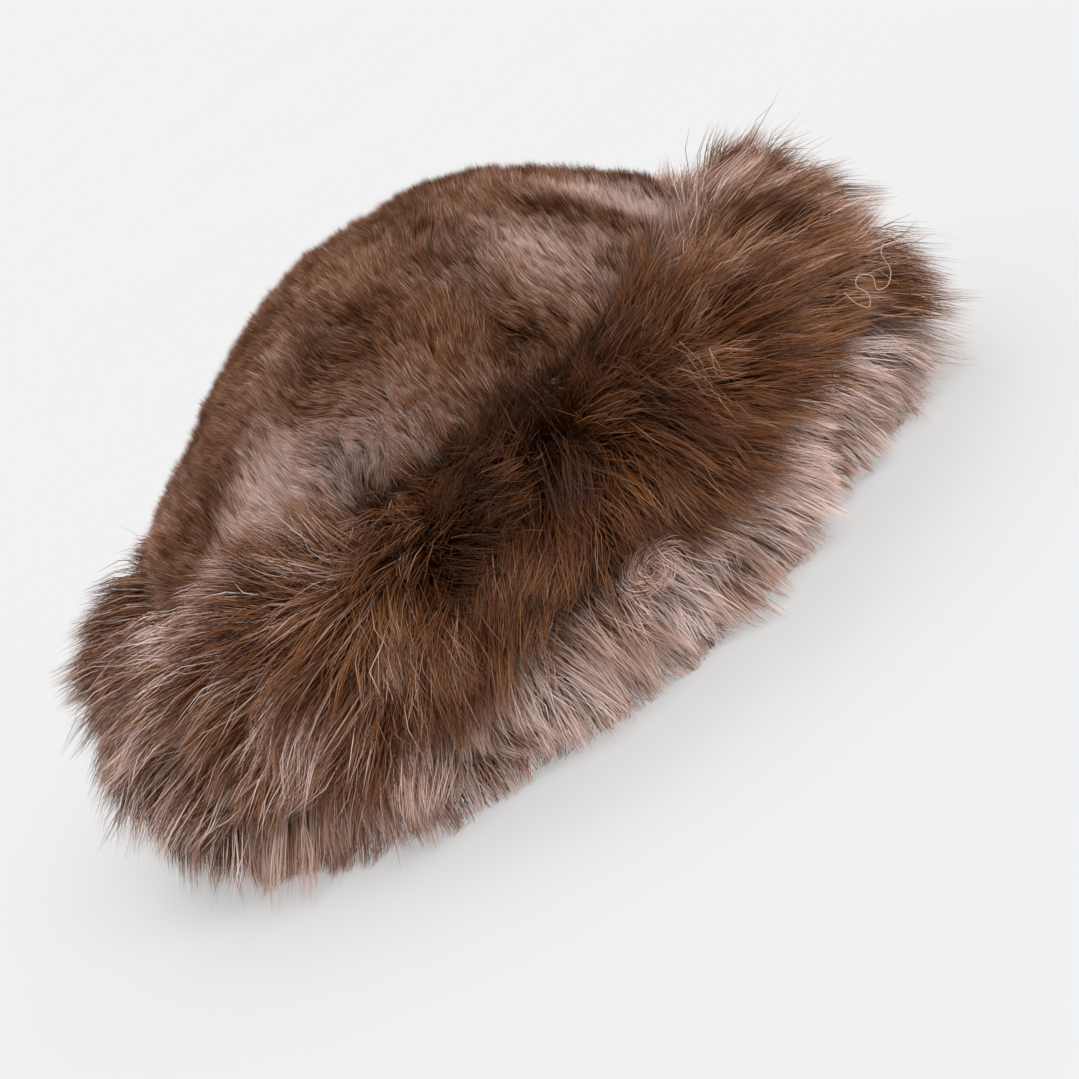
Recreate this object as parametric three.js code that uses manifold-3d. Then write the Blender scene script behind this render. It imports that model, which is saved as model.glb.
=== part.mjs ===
// A soft fur hat: a crown of short pile, sewn from a side band and a top panel, over a flared
// brim of long pile that has an upper and an under face.
// Millimetres, +Z up. The origin is the middle of the head opening, on the surface that the hat
// rests on. The viewer stands at -Y, and +X is to the viewer's right.
import * as THREE from "three";
import { mergeVertices } from "three/addons/utils/BufferGeometryUtils.js";
import Module from "manifold-3d";

// Driving dimensions
const HEAD_RADIUS = 92; // inside of the head opening, 578 mm round
const CLOTH = 2; // knitted backing of the fur
const CROWN_PILE = 8; // short pile, as it lies
const CROWN_RISE = 63; // brim seam to the top of the pile
const SEAM_HEIGHT = 77; // brim seam above the surface
const BRIM_REACH = 38; // how far the brim's cloth runs outwards
const BRIM_DROP = 38; // how far the brim's cloth falls
const BRIM_BULGE = 8; // how far the brim's cloth bows up between seam and edge
const LONG_PILE = 42; // hair of the brim
const UNDER_TUCK = 10; // how far the under face's hair leans in over the surface it stands on
const LOCK_LENGTH = 37; // a lock of hair, root to tip, along the fur
const LOCK_WIDTH = 21; // a lock of hair where it is widest
const LOCK_REACH = 10; // how far a lock's tip stands out of the fur round it
const LOCK_SWEEP = 14; // degrees about Z that locks lean towards the viewer's left and right
const LOCK_THICKNESS = 0.6; // a lock's thickness as a share of its width
const LOCK_ROOT_DEPTH = 0.7; // how deep a lock's root lies in the fur, as a share of LOCK_REACH
const SEAM_GAP = 0.3; // between pieces that are sewn together
const TOP_PANEL_SHARE = 0.66; // share of the crown's rise at which the top panel starts

// Fineness of the mesh
const AROUND = 44;
const LOCK_SIDES = 4;
const LOCK_STEPS = 3;
const SEED = 11;
const LOOK_AHEAD = 0.06; // share of an outline's row, for a lock's heading
const SLOPE_STEP = 0.02; // share of the rise and radians, for the crown's slopes

const CROWN_WALL = CLOTH + CROWN_PILE;
const CROWN_RADIUS = HEAD_RADIUS + CROWN_WALL;
const EDGE_RADIUS = HEAD_RADIUS + BRIM_REACH;
const FAR_RADIUS = 2 * (EDGE_RADIUS + LONG_PILE); // outside everything, for cutting shapes
const NEAR_RADIUS = 0.5 * HEAD_RADIUS; // inside the opening, for cutting shapes

// The crown's level sections, from the brim seam up: how high, and how far it reaches to each
// side, both as shares, of CROWN_RISE and of CROWN_RADIUS. The top leans to the viewer's right.
const CROWN_SECTIONS = [
  { rise: 0.0, left: 1.0, right: 1.0, front: 1.0, back: 1.0 },
  { rise: 0.13, left: 1.03, right: 1.06, front: 1.03, back: 1.03 },
  { rise: 0.26, left: 1.0, right: 1.055, front: 1.01, back: 1.02 },
  { rise: 0.4, left: 0.87, right: 0.97, front: 0.95, back: 0.96 },
  { rise: 0.54, left: 0.73, right: 0.87, front: 0.85, back: 0.87 },
  { rise: 0.66, left: 0.6, right: 0.78, front: 0.74, back: 0.77 },
  { rise: 0.77, left: 0.46, right: 0.69, front: 0.61, back: 0.66 },
  { rise: 0.87, left: 0.34, right: 0.59, front: 0.46, back: 0.52 },
  { rise: 0.95, left: 0.2, right: 0.41, front: 0.28, back: 0.34 },
  { rise: 1.0, left: 0.0, right: 0.0, front: 0.0, back: 0.0 },
];

// Soft dents in the crown. Each runs up from its foot to its head, in degrees about Z and in
// shares of the rise, and has a half width in degrees and a depth as a share of CROWN_RADIUS.
const CROWN_DENTS = [
  { foot: -36, head: 8, low: -0.3, high: 1.0, width: 13, depth: 0.085 },
  { foot: -72, head: -58, low: 0.2, high: 1.0, width: 16, depth: 0.045 },
  { foot: 212, head: 200, low: 0.1, high: 0.9, width: 14, depth: 0.03 },
  { foot: 112, head: 98, low: 0.0, high: 1.0, width: 18, depth: 0.05 },
];

// How the brim's outline wanders round the hat: its reach as a share, and how far its edge lifts
// or sinks, as a share of BRIM_DROP.
const BRIM_LOBES = [
  { angle: 0, reach: 0.96, lift: 0.16 },
  { angle: 28, reach: 0.94, lift: 0.24 },
  { angle: 58, reach: 0.74, lift: 0.06 },
  { angle: 90, reach: 0.68, lift: 0.0 },
  { angle: 122, reach: 0.74, lift: 0.06 },
  { angle: 156, reach: 0.94, lift: 0.22 },
  { angle: 180, reach: 1.0, lift: 0.1 },
  { angle: 204, reach: 0.98, lift: -0.02 },
  { angle: 236, reach: 0.74, lift: 0.08 },
  { angle: 270, reach: 0.64, lift: 0.22 },
  { angle: 302, reach: 0.66, lift: 0.24 },
  { angle: 336, reach: 0.9, lift: 0.14 },
];

// Outline of the fur over the brim: a place along the cloth, and how far out and up the hair
// stands there, in shares of LONG_PILE.
const UPPER_FUR = [
  { along: 0.36, out: 0.2, up: 0.34 },
  { along: 0.6, out: 0.29, up: 0.24 },
  { along: 0.85, out: 0.37, up: 0.12 },
  { along: 1.0, out: 0.42, up: -0.06 },
];
// Where the upper and under fur part, past the cloth's edge.
const FUR_PARTING = { out: 0.34, up: -0.28 };
// The under fur's outer side, from the parting down to the surface: how far past the cloth's
// edge, in shares of LONG_PILE, and how high, in shares of the edge's height.
const UNDER_FUR = [
  { out: 0.32, height: 0.3 },
  { out: 0.22, height: 0.0 },
];

// Rows of locks on each face of the brim: where their roots are on the fur's outline, from its
// first row (0) to its last (1), how many there are round the hat, how far the tips stand out and
// how big they are.
const LOCK_ROWS = [
  { face: "upper", place: -0.08, count: 18, stand: 1.35, size: 0.9 },
  { face: "upper", place: 0.12, count: 21, stand: 1.0, size: 1.0 },
  { face: "upper", place: 0.36, count: 24, stand: 1.0, size: 1.05 },
  { face: "upper", place: 0.6, count: 26, stand: 1.15, size: 1.0 },
  { face: "under", place: -0.3, count: 22, stand: 1.1, size: 1.05 },
  { face: "under", place: 0.12, count: 23, stand: 1.1, size: 1.0 },
];
const FREE_HEIGHT = 1.5; // the upper fur's lowest lock above the surface

const wasm = await Module();
wasm.setup();
const { Manifold, Mesh } = wasm;

const radians = (degrees) => (degrees * Math.PI) / 180;
const turnOf = (step) => (2 * Math.PI * step) / AROUND;
const mix = (a, b, share) => a + (b - a) * share;

// A repeatable run of numbers from 0 to 1.
function dice(seed) {
  let state = seed;
  return () => {
    state = (state * 1664525 + 1013904223) % 4294967296;
    return state / 4294967296;
  };
}

// The point at a radius and a height in the upright plane at an angle.
function at(angle, radius, height) {
  return new THREE.Vector3(radius * Math.cos(angle), radius * Math.sin(angle), height);
}

// A table's values at a place between its rows, taken linearly.
function between(rows, key, place) {
  const last = rows.length - 1;
  let i = 0;
  while (i < last - 1 && rows[i + 1][key] < place) i += 1;
  const share = (place - rows[i][key]) / (rows[i + 1][key] - rows[i][key]);
  const values = {};
  for (const name of Object.keys(rows[i])) values[name] = mix(rows[i][name], rows[i + 1][name], share);
  return values;
}

// The brim's lobe at an angle, eased from one row of the table to the next.
function lobeAt(angle) {
  const degrees = (((angle * 180) / Math.PI) % 360 + 360) % 360;
  const rows = [...BRIM_LOBES, { ...BRIM_LOBES[0], angle: 360 }];
  const i = rows.findIndex((row) => row.angle > degrees) - 1;
  const share = (degrees - rows[i].angle) / (rows[i + 1].angle - rows[i].angle);
  const eased = share * share * (3 - 2 * share);
  return {
    reach: mix(rows[i].reach, rows[i + 1].reach, eased),
    lift: mix(rows[i].lift, rows[i + 1].lift, eased) * BRIM_DROP,
  };
}

// How far the dents push the crown in, at an angle and a share of its rise.
function dentAt(angle, rise) {
  let depth = 0;
  for (const dent of CROWN_DENTS) {
    const up = (rise - dent.low) / (dent.high - dent.low);
    if (up <= 0 || up >= 1) continue;
    const off = angle - radians(mix(dent.foot, dent.head, up));
    const turned = Math.atan2(Math.sin(off), Math.cos(off)) / radians(dent.width);
    depth += dent.depth * CROWN_RADIUS * Math.exp(-turned * turned) * Math.sin(Math.PI * up);
  }
  return depth;
}

// A point on the outside of the crown's pile.
function crownPoint(angle, rise) {
  const section = between(CROWN_SECTIONS, "rise", rise);
  const across = Math.cos(angle) > 0 ? section.right : section.left;
  const deep = Math.sin(angle) > 0 ? section.back : section.front;
  const height = SEAM_HEIGHT + CROWN_RISE * rise;
  if (across < 1e-6) return new THREE.Vector3(0, 0, height);
  const radius = CROWN_RADIUS / Math.hypot(Math.cos(angle) / across, Math.sin(angle) / deep);
  return at(angle, Math.max(radius - dentAt(angle, rise), 0), height);
}

// The way out of the crown's surface. At the seam it is level, so that the rim lies flat.
function crownNormal(angle, rise) {
  if (rise <= 0) return at(angle, 1, 0);
  if (rise >= 1) return new THREE.Vector3(0, 0, 1);
  const step = SLOPE_STEP;
  const along = crownPoint(angle, Math.min(rise + step, 1)).sub(crownPoint(angle, rise - step));
  const round = crownPoint(angle + step, rise).sub(crownPoint(angle - step, rise));
  return round.cross(along).normalize();
}

// The inside of the crown's cloth, under the same place of the pile.
function crownInside(angle, rise, wall = CROWN_WALL) {
  return crownPoint(angle, rise).addScaledVector(crownNormal(angle, rise), -wall);
}

// The brim's cloth at an angle, from the seam (0) to its edge (1), as a radius and a height.
function clothAt(angle, along) {
  const lobe = lobeAt(angle);
  const bow = BRIM_BULGE * 4 * along * (1 - along);
  return {
    radius: HEAD_RADIUS + BRIM_REACH * lobe.reach * along + bow * 0.4,
    height: SEAM_HEIGHT - (BRIM_DROP - lobe.lift) * along + bow,
  };
}

// A point of the upper fur's outline, by a row of its table.
function upperFurAt(angle, row) {
  const lobe = lobeAt(angle);
  const cloth = clothAt(angle, row.along);
  return {
    radius: cloth.radius + LONG_PILE * row.out * lobe.reach,
    height: cloth.height + LONG_PILE * row.up + lobe.lift * row.along * 0.5,
  };
}

// Where the two faces' fur parts, past the cloth's edge.
function partingAt(angle) {
  return upperFurAt(angle, { along: 1, ...FUR_PARTING });
}

// A point of the under fur's outer side, by a row of its table.
function underFurAt(angle, row) {
  const edge = clothAt(angle, 1);
  return {
    radius: edge.radius + LONG_PILE * row.out * lobeAt(angle).reach,
    height: edge.height * row.height,
  };
}

// Turns indexed triangles into a solid.
function solidFrom(positions, triangles) {
  const geometry = new THREE.BufferGeometry();
  geometry.setAttribute("position", new THREE.Float32BufferAttribute(positions, 3));
  geometry.setIndex(triangles);
  const merged = mergeVertices(geometry, 1e-3);
  return new Manifold(
    new Mesh({
      numProp: 3,
      vertProperties: merged.attributes.position.array,
      triVerts: new Uint32Array(merged.index.array),
    }),
  );
}

// Two triangles for a four-sided patch, parted along its shorter diagonal, so that two surfaces a
// gap apart are parted alike. The corners are two on one section, then the same two on the next.
function patch(positions, a, b, c, d) {
  const place = (i) => new THREE.Vector3().fromArray(positions, 3 * i);
  if (place(a).distanceTo(place(d)) < place(b).distanceTo(place(c))) return [a, c, d, a, d, b];
  return [a, c, b, b, c, d];
}

// A ring round the Z axis: section(angle) gives its outline there, anticlockwise as seen with the
// axis at the left, and each outline has as many points.
function ring(section) {
  const outlines = [];
  for (let i = 0; i < AROUND; i += 1) outlines.push(section(turnOf(i)));
  const count = outlines[0].length;
  const positions = outlines.flat().flatMap((point) => point.toArray());
  const triangles = [];
  for (let i = 0; i < AROUND; i += 1) {
    const next = (i + 1) % AROUND;
    for (let j = 0; j < count; j += 1) {
      const k = (j + 1) % count;
      const corners = [i * count + j, i * count + k, next * count + j, next * count + k];
      triangles.push(...patch(positions, ...corners));
    }
  }
  return solidFrom(positions, triangles);
}

// A shape round the Z axis whose outline starts and ends on it.
function cap(outside, inside) {
  const columns = outside.length + inside.length;
  const positions = [];
  const triangles = [];
  for (let i = 0; i < AROUND; i += 1) {
    for (const point of outside) positions.push(...point(turnOf(i)).toArray());
    for (const point of inside) positions.push(...point(turnOf(i)).toArray());
  }
  for (let i = 0; i < AROUND; i += 1) {
    const here = i * columns;
    const next = ((i + 1) % AROUND) * columns;
    for (let j = 0; j < columns - 1; j += 1) {
      triangles.push(...patch(positions, here + j, here + j + 1, next + j, next + j + 1));
    }
  }
  return solidFrom(positions, dropFlat(positions, triangles));
}

// Leaves out the triangles that two corners on the axis have made flat.
function dropFlat(positions, triangles) {
  const place = (i) => new THREE.Vector3().fromArray(positions, 3 * i);
  const kept = [];
  for (let t = 0; t < triangles.length; t += 3) {
    const [a, b, c] = triangles.slice(t, t + 3);
    const span = (from, to) => place(from).distanceTo(place(to));
    if (Math.min(span(a, b), span(b, c), span(c, a)) > 1e-3) kept.push(a, b, c);
  }
  return kept;
}

// A point of the seam between side band and top panel: how deep in the wall, and how far up the
// crown from the seam's middle.
function topSeamPoint(angle, depth, up) {
  const above = crownPoint(angle, TOP_PANEL_SHARE + SLOPE_STEP);
  const run = above.sub(crownPoint(angle, TOP_PANEL_SHARE - SLOPE_STEP));
  const middle = crownInside(angle, TOP_PANEL_SHARE, depth);
  return middle.addScaledVector(run.normalize(), up);
}

// The crown's sections that fall on the side band, and on the top panel, clear of their seam.
const shares = CROWN_SECTIONS.map((row) => row.rise);
const sideShares = shares.filter((rise) => rise < TOP_PANEL_SHARE - SLOPE_STEP);
const topShares = shares.filter((rise) => rise > TOP_PANEL_SHARE + SLOPE_STEP);

// The crown's side band: outside up, over its top rim, inside down.
function makeCrownSide() {
  return ring((angle) => {
    const outside = sideShares.map((rise) => crownPoint(angle, rise));
    const inside = sideShares.map((rise) => crownInside(angle, rise)).reverse();
    const rim = [0, CROWN_WALL].map((depth) => topSeamPoint(angle, depth, -SEAM_GAP / 2));
    return [...outside, ...rim, ...inside];
  });
}

// The crown's top panel: inside from the middle out, over its rim, outside back to the middle.
function makeCrownTop() {
  const outside = [
    (angle) => topSeamPoint(angle, 0, SEAM_GAP / 2),
    ...topShares.map((rise) => (angle) => crownPoint(angle, rise)),
  ];
  const inside = [
    ...topShares.map((rise) => (angle) => crownInside(angle, rise)).reverse(),
    (angle) => topSeamPoint(angle, CROWN_WALL, SEAM_GAP / 2),
  ];
  return cap(inside, outside);
}

// Everything over the sheet where the brim's two faces meet, less half the seam's gap.
function aboveParting() {
  return ring((angle) => {
    const top = [at(angle, FAR_RADIUS, FAR_RADIUS), at(angle, NEAR_RADIUS, FAR_RADIUS)];
    return [...partingLine(angle, SEAM_GAP / 2), ...top];
  });
}

// Everything under that sheet and over the surface that the hat rests on.
function belowParting() {
  return ring((angle) => {
    const floor = [at(angle, NEAR_RADIUS, 0), at(angle, FAR_RADIUS, 0)];
    return [...floor, ...partingLine(angle, -SEAM_GAP / 2).reverse()];
  });
}

// The sheet's line from inside the opening to far out, at a height over or under it.
function partingLine(angle, over) {
  const edge = clothAt(angle, 1);
  const parting = partingAt(angle);
  const cloth = [0, 0.25, 0.5, 0.75, 1].map((along) => clothAt(angle, along));
  const slope = (parting.height - edge.height) / (parting.radius - edge.radius);
  const height = Math.max(parting.height + slope * LONG_PILE, FREE_HEIGHT);
  const end = { radius: parting.radius + LONG_PILE, height };
  const start = { radius: NEAR_RADIUS, height: cloth[0].height - CLOTH };
  const under = { radius: cloth[0].radius, height: cloth[0].height - CLOTH };
  const far = { radius: FAR_RADIUS, height };
  const points = [start, under, ...cloth.slice(1), parting, end, far];
  return points.map((p) => at(angle, p.radius, p.height + over));
}

// The crown with its seam gap, for clearing the brim's fur off it.
function crownClearance() {
  const grown = (angle, rise) => crownPoint(angle, rise).add(at(angle, SEAM_GAP, 0));
  const foot = (angle) => at(angle, CROWN_RADIUS + SEAM_GAP, SEAM_HEIGHT - SEAM_GAP);
  const peak = (angle) => at(angle, 0, SEAM_HEIGHT + CROWN_RISE);
  const under = shares.filter((rise) => rise < 1);
  return cap(
    [(angle) => at(angle, 0, SEAM_HEIGHT - SEAM_GAP), foot],
    [...under.map((rise) => (angle) => grown(angle, rise)), peak],
  );
}

// The fur's outline on a face of the brim at an angle, from its first row to its last.
function furOutline(face, angle) {
  if (face === "upper") return UPPER_FUR.map((row) => upperFurAt(angle, row));
  return [partingAt(angle), ...UNDER_FUR.map((row) => underFurAt(angle, row))];
}

// A point on that outline, or on from either end of it.
function outlinePoint(face, angle, place) {
  const outline = furOutline(face, angle);
  const along = place * (outline.length - 1);
  const i = Math.min(Math.max(Math.floor(along), 0), outline.length - 2);
  const radius = mix(outline[i].radius, outline[i + 1].radius, along - i);
  return at(angle, radius, mix(outline[i].height, outline[i + 1].height, along - i));
}

// A lock of hair: a flattened, tapering strip that leaves the fur's outline towards its tip.
function lock(face, angle, place, sweep, row, size) {
  const step = LOOK_AHEAD;
  const start = outlinePoint(face, angle, place);
  const pace = outlinePoint(face, angle, place + step).distanceTo(start) / step;
  const run = (LOCK_LENGTH * size) / pace;
  const positions = [];
  const triangles = [];
  let root;
  let tip;
  for (let i = 0; i <= LOCK_STEPS; i += 1) {
    const share = i / LOCK_STEPS;
    const turn = angle + sweep * share;
    const along = place + run * share;
    const here = outlinePoint(face, turn, along);
    const ahead = outlinePoint(face, turn + sweep * step, along + step).sub(here).normalize();
    const level = at(turn + Math.PI / 2, 1, 0);
    const out = ahead.clone().cross(level).normalize();
    const wide = out.clone().cross(ahead);
    const off = LOCK_REACH * size * row.stand * mix(-LOCK_ROOT_DEPTH, 1, share);
    const middle = here.addScaledVector(out, off);
    if (i === 0) root = middle.clone().addScaledVector(ahead, -LOCK_WIDTH * 0.2);
    if (i === LOCK_STEPS) tip = middle;
    if (i === LOCK_STEPS) break;
    const half = (LOCK_WIDTH / 2) * size * (0.8 + 0.6 * share - 1.45 * share ** 2);
    for (let side = 0; side < LOCK_SIDES; side += 1) {
      const round = (2 * Math.PI * side) / LOCK_SIDES;
      const point = middle.clone().addScaledVector(wide, half * Math.cos(round));
      positions.push(...point.addScaledVector(out, half * LOCK_THICKNESS * Math.sin(round)).toArray());
    }
  }
  positions.push(...root.toArray(), ...tip.toArray());
  const rootIndex = LOCK_STEPS * LOCK_SIDES;
  for (let side = 0; side < LOCK_SIDES; side += 1) {
    const next = (side + 1) % LOCK_SIDES;
    triangles.push(rootIndex, next, side);
    for (let i = 0; i < LOCK_STEPS - 1; i += 1) {
      const a = i * LOCK_SIDES;
      triangles.push(a + side, a + next, a + LOCK_SIDES + side);
      triangles.push(a + next, a + LOCK_SIDES + next, a + LOCK_SIDES + side);
    }
    const last = (LOCK_STEPS - 1) * LOCK_SIDES;
    triangles.push(last + side, last + next, rootIndex + 1);
  }
  const made = solidFrom(positions, triangles);
  return made.volume() < 0 ? solidFrom(positions, triangles.reverse()) : made;
}

// Every lock of a face, row by row, each a little off its even place.
function locksOf(face) {
  const roll = dice(SEED + face.length);
  const made = [];
  for (const row of LOCK_ROWS.filter((each) => each.face === face)) {
    for (let i = 0; i < row.count; i += 1) {
      const angle = (2 * Math.PI * (i + 0.6 * (roll() - 0.5) + row.place)) / row.count;
      const size = row.size * mix(0.8, 1.2, roll());
      const lean = Math.sin(-2 * angle) + mix(-0.6, 0.6, roll());
      const place = row.place + mix(-0.06, 0.06, roll());
      made.push(lock(face, angle, place, lean * radians(LOCK_SWEEP), row, size));
    }
  }
  return made;
}

// The brim's upper face: cloth under the crown's rim and out to the edge, with its fur over it.
function makeBrimUpper() {
  const body = ring((angle) => {
    const cloth = [0.25, 0.5, 0.75, 1].map((along) => clothAt(angle, along));
    const start = clothAt(angle, 0);
    const parting = partingAt(angle);
    const under = [
      { radius: start.radius, height: start.height - CLOTH + SEAM_GAP / 2 },
      ...cloth.map((p) => ({ radius: p.radius, height: p.height + SEAM_GAP / 2 })),
      { radius: parting.radius, height: parting.height + SEAM_GAP / 2 },
    ];
    const fur = UPPER_FUR.map((row) => upperFurAt(angle, row)).reverse();
    const atCrown = crownPoint(angle, CROWN_SECTIONS[1].rise);
    const crownSide = Math.hypot(atCrown.x, atCrown.y);
    const over = [
      { radius: crownSide, height: atCrown.z },
      { radius: CROWN_RADIUS + SEAM_GAP, height: SEAM_HEIGHT - SEAM_GAP },
      { radius: start.radius, height: SEAM_HEIGHT - SEAM_GAP },
    ];
    return [...under, ...fur, ...over].map((p) => at(angle, p.radius, p.height));
  });
  const furred = Manifold.union([body, ...locksOf("upper")]);
  return furred.subtract(crownClearance()).intersect(aboveParting());
}

// The brim's under face: cloth from the head opening to the edge, with its fur down to the
// surface and leaning in round the opening.
function makeBrimUnder() {
  const body = ring((angle) => {
    const cloth = [0.25, 0.5, 0.75, 1].map((along) => clothAt(angle, along));
    const start = clothAt(angle, 0);
    const parting = partingAt(angle);
    const fur = UNDER_FUR.map((row) => underFurAt(angle, row));
    const foot = HEAD_RADIUS + UNDER_TUCK;
    const over = [parting, ...cloth.reverse(), { radius: start.radius, height: start.height - CLOTH }];
    return [
      { radius: start.radius, height: 0.5 * SEAM_HEIGHT },
      { radius: mix(start.radius, foot, 0.4), height: 0.1 * SEAM_HEIGHT },
      { radius: foot, height: 0 },
      fur[1],
      fur[0],
      ...over.map((p) => ({ radius: p.radius, height: p.height - SEAM_GAP / 2 })),
    ].map((p) => at(angle, p.radius, p.height));
  });
  return Manifold.union([body, ...locksOf("under")]).intersect(belowParting());
}

// A named mesh in the fur's own colour.
function piece(name, solid, colour, roughness) {
  const made = solid.getMesh();
  const stride = made.numProp;
  const positions = new Float32Array(made.numVert * 3);
  for (let i = 0; i < made.numVert; i += 1) {
    positions.set(made.vertProperties.subarray(i * stride, i * stride + 3), i * 3);
  }
  const geometry = new THREE.BufferGeometry();
  geometry.setAttribute("position", new THREE.BufferAttribute(positions, 3));
  geometry.setIndex(new THREE.BufferAttribute(made.triVerts, 1));
  const material = new THREE.MeshStandardMaterial({ color: colour, roughness, metalness: 0 });
  const mesh = new THREE.Mesh(geometry, material);
  mesh.name = name;
  return mesh;
}

const hat = new THREE.Group();
hat.add(piece("crown_side", makeCrownSide(), 0x7a5540, 0.85));
hat.add(piece("crown_top", makeCrownTop(), 0x80594a, 0.85));
hat.add(piece("brim_upper", makeBrimUpper(), 0x5f3f2a, 0.8));
hat.add(piece("brim_under", makeBrimUnder(), 0xa08474, 0.8));

export default hat;
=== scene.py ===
import math

import bpy
import numpy as np
from bpy.props import FloatProperty, FloatVectorProperty, IntProperty, PointerProperty
from mathutils import Matrix, Vector, kdtree


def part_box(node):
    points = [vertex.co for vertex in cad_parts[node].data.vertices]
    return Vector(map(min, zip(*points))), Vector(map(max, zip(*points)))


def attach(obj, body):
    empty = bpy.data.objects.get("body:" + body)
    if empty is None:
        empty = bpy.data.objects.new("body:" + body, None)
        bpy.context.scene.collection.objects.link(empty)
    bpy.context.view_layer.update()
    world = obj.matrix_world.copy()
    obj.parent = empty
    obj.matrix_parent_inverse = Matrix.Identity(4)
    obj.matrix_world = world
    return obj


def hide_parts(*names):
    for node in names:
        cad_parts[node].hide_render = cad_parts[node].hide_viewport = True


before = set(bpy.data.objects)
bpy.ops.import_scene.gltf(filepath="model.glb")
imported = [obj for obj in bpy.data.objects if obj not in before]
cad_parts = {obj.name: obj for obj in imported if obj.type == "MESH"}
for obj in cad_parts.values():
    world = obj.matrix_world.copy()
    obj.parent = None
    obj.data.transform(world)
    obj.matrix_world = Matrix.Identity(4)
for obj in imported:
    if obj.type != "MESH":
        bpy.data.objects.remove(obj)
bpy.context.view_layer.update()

bl_info = {
    "name": "Fur Brim Hat",
    "version": (1, 0, 0),
    "blender": (4, 5, 0),
    "location": "3D View > Sidebar > Hat",
    "description": "Grows a fur hat's short crown pile and long brim pile on its packed frame",
    "category": "Object",
}

# Sizes below are in millimetres, about the middle of the head opening, with the viewer at -Y.
MM = 0.001
SEAM_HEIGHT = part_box("crown_side")[0].z / MM
CROWN_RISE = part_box("crown_top")[1].z / MM - SEAM_HEIGHT
HEAD_RADIUS = 92.0
CLOTH = 2.0
CROWN_PILE = 8.0
CROWN_RADIUS = HEAD_RADIUS + CLOTH + CROWN_PILE
BRIM_REACH = 38.0
BRIM_DROP = 38.0
BRIM_BULGE = 8.0
BRIM_BOW = 0.4
TOP_PANEL_ROW = 5.0
DOWN = np.array(((0.0, 0.0, -1.0),))

# How finely surfaces are cut round the hat, for hair roots and for the cloth under them.
COLUMNS = 360
BACKING_COLUMNS = 120

# The cloth under the hair: how far the crown's rises into the pile, half the brim cloth's thickness,
# how far the under brim's core stays below that cloth, and what the crown's panels leave open at
# their seam and at the peak, in rows of the section table.
BACKING_OVER = 0.6
BRIM_CLOTH_HALF = 0.6
CORE_BELOW = 1.6
PANEL_SLIT = 0.03
PEAK_HOLE = 0.02

# What the under brim's hair grows from: offsets from the head opening, the seam and the edge of
# the brim's cloth, and its height over the surface.
UNDER_CORE = {
    "opening_out": 3, "opening_down": 4, "foot_out": 16, "foot_height": 9.0,
    "edge_in": 5, "edge_out": 1, "edge_down": 2,
}

# Threads: the loose one's radius, and the seams' zigzag inside the crown. A stitch is twice
# half_height tall in rows of the section table, leans by a share of its step, starts off the cloth
# and bows further out in its middle.
THREAD_RADIUS = 0.12
STITCHES = {
    "count": 150, "radius": 0.32, "half_height": 0.16, "slant": 0.9, "off": 1.2, "bow": 2.6,
}
SIDE_SEAM_ROW = 0.25


def table(columns, *rows):
    """Rows of numbers as dictionaries, with the names of their columns."""
    return [dict(zip(columns.split(), row)) for row in rows]


# Level sections of the crown's pile, from the brim seam up: rise and reach as shares.
CROWN_SECTIONS = table(
    "rise left right front back",
    (0.0, 1.0, 1.0, 1.0, 1.0),
    (0.13, 1.03, 1.06, 1.03, 1.03),
    (0.26, 1.0, 1.055, 1.01, 1.02),
    (0.4, 0.87, 0.97, 0.95, 0.96),
    (0.54, 0.73, 0.87, 0.85, 0.87),
    (0.66, 0.6, 0.78, 0.74, 0.77),
    (0.77, 0.46, 0.69, 0.61, 0.66),
    (0.87, 0.34, 0.59, 0.46, 0.52),
    (0.95, 0.2, 0.41, 0.28, 0.34),
    (1.0, 0.0, 0.0, 0.0, 0.0),
)

# Soft dents in the crown: foot and head in degrees about Z, low and high in shares of the rise,
# half width in degrees, depth as a share of CROWN_RADIUS.
CROWN_DENTS = table(
    "foot head low high width depth",
    (-36, 8, -0.3, 1.0, 13, 0.085),
    (-72, -58, 0.2, 1.0, 16, 0.045),
    (212, 200, 0.1, 0.9, 14, 0.03),
    (112, 98, 0.0, 1.0, 18, 0.05),
)

PEAK_ROW = len(CROWN_SECTIONS) - 1

# How the brim's reach and the lift of its edge change round the hat, as shares.
BRIM_LOBES = table(
    "turn reach lift",
    (0, 0.96, 0.16),
    (28, 0.94, 0.24),
    (58, 0.74, 0.06),
    (90, 0.68, 0.0),
    (122, 0.74, 0.06),
    (156, 0.94, 0.22),
    (180, 1.0, 0.1),
    (204, 0.98, -0.02),
    (236, 0.74, 0.08),
    (270, 0.64, 0.22),
    (302, 0.66, 0.24),
    (336, 0.9, 0.14),
)

# How the upper brim's hair leaves the cloth, from the seam out: degrees above level at the root,
# how much it bends down by its tip, and its length as a share.
UPPER_COMB = table(
    "along lean bend length",
    (0.1, 48, 30, 0.72),
    (0.35, 34, 34, 0.86),
    (0.65, 16, 32, 0.95),
    (1.0, -6, 26, 0.88),
)

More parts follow.
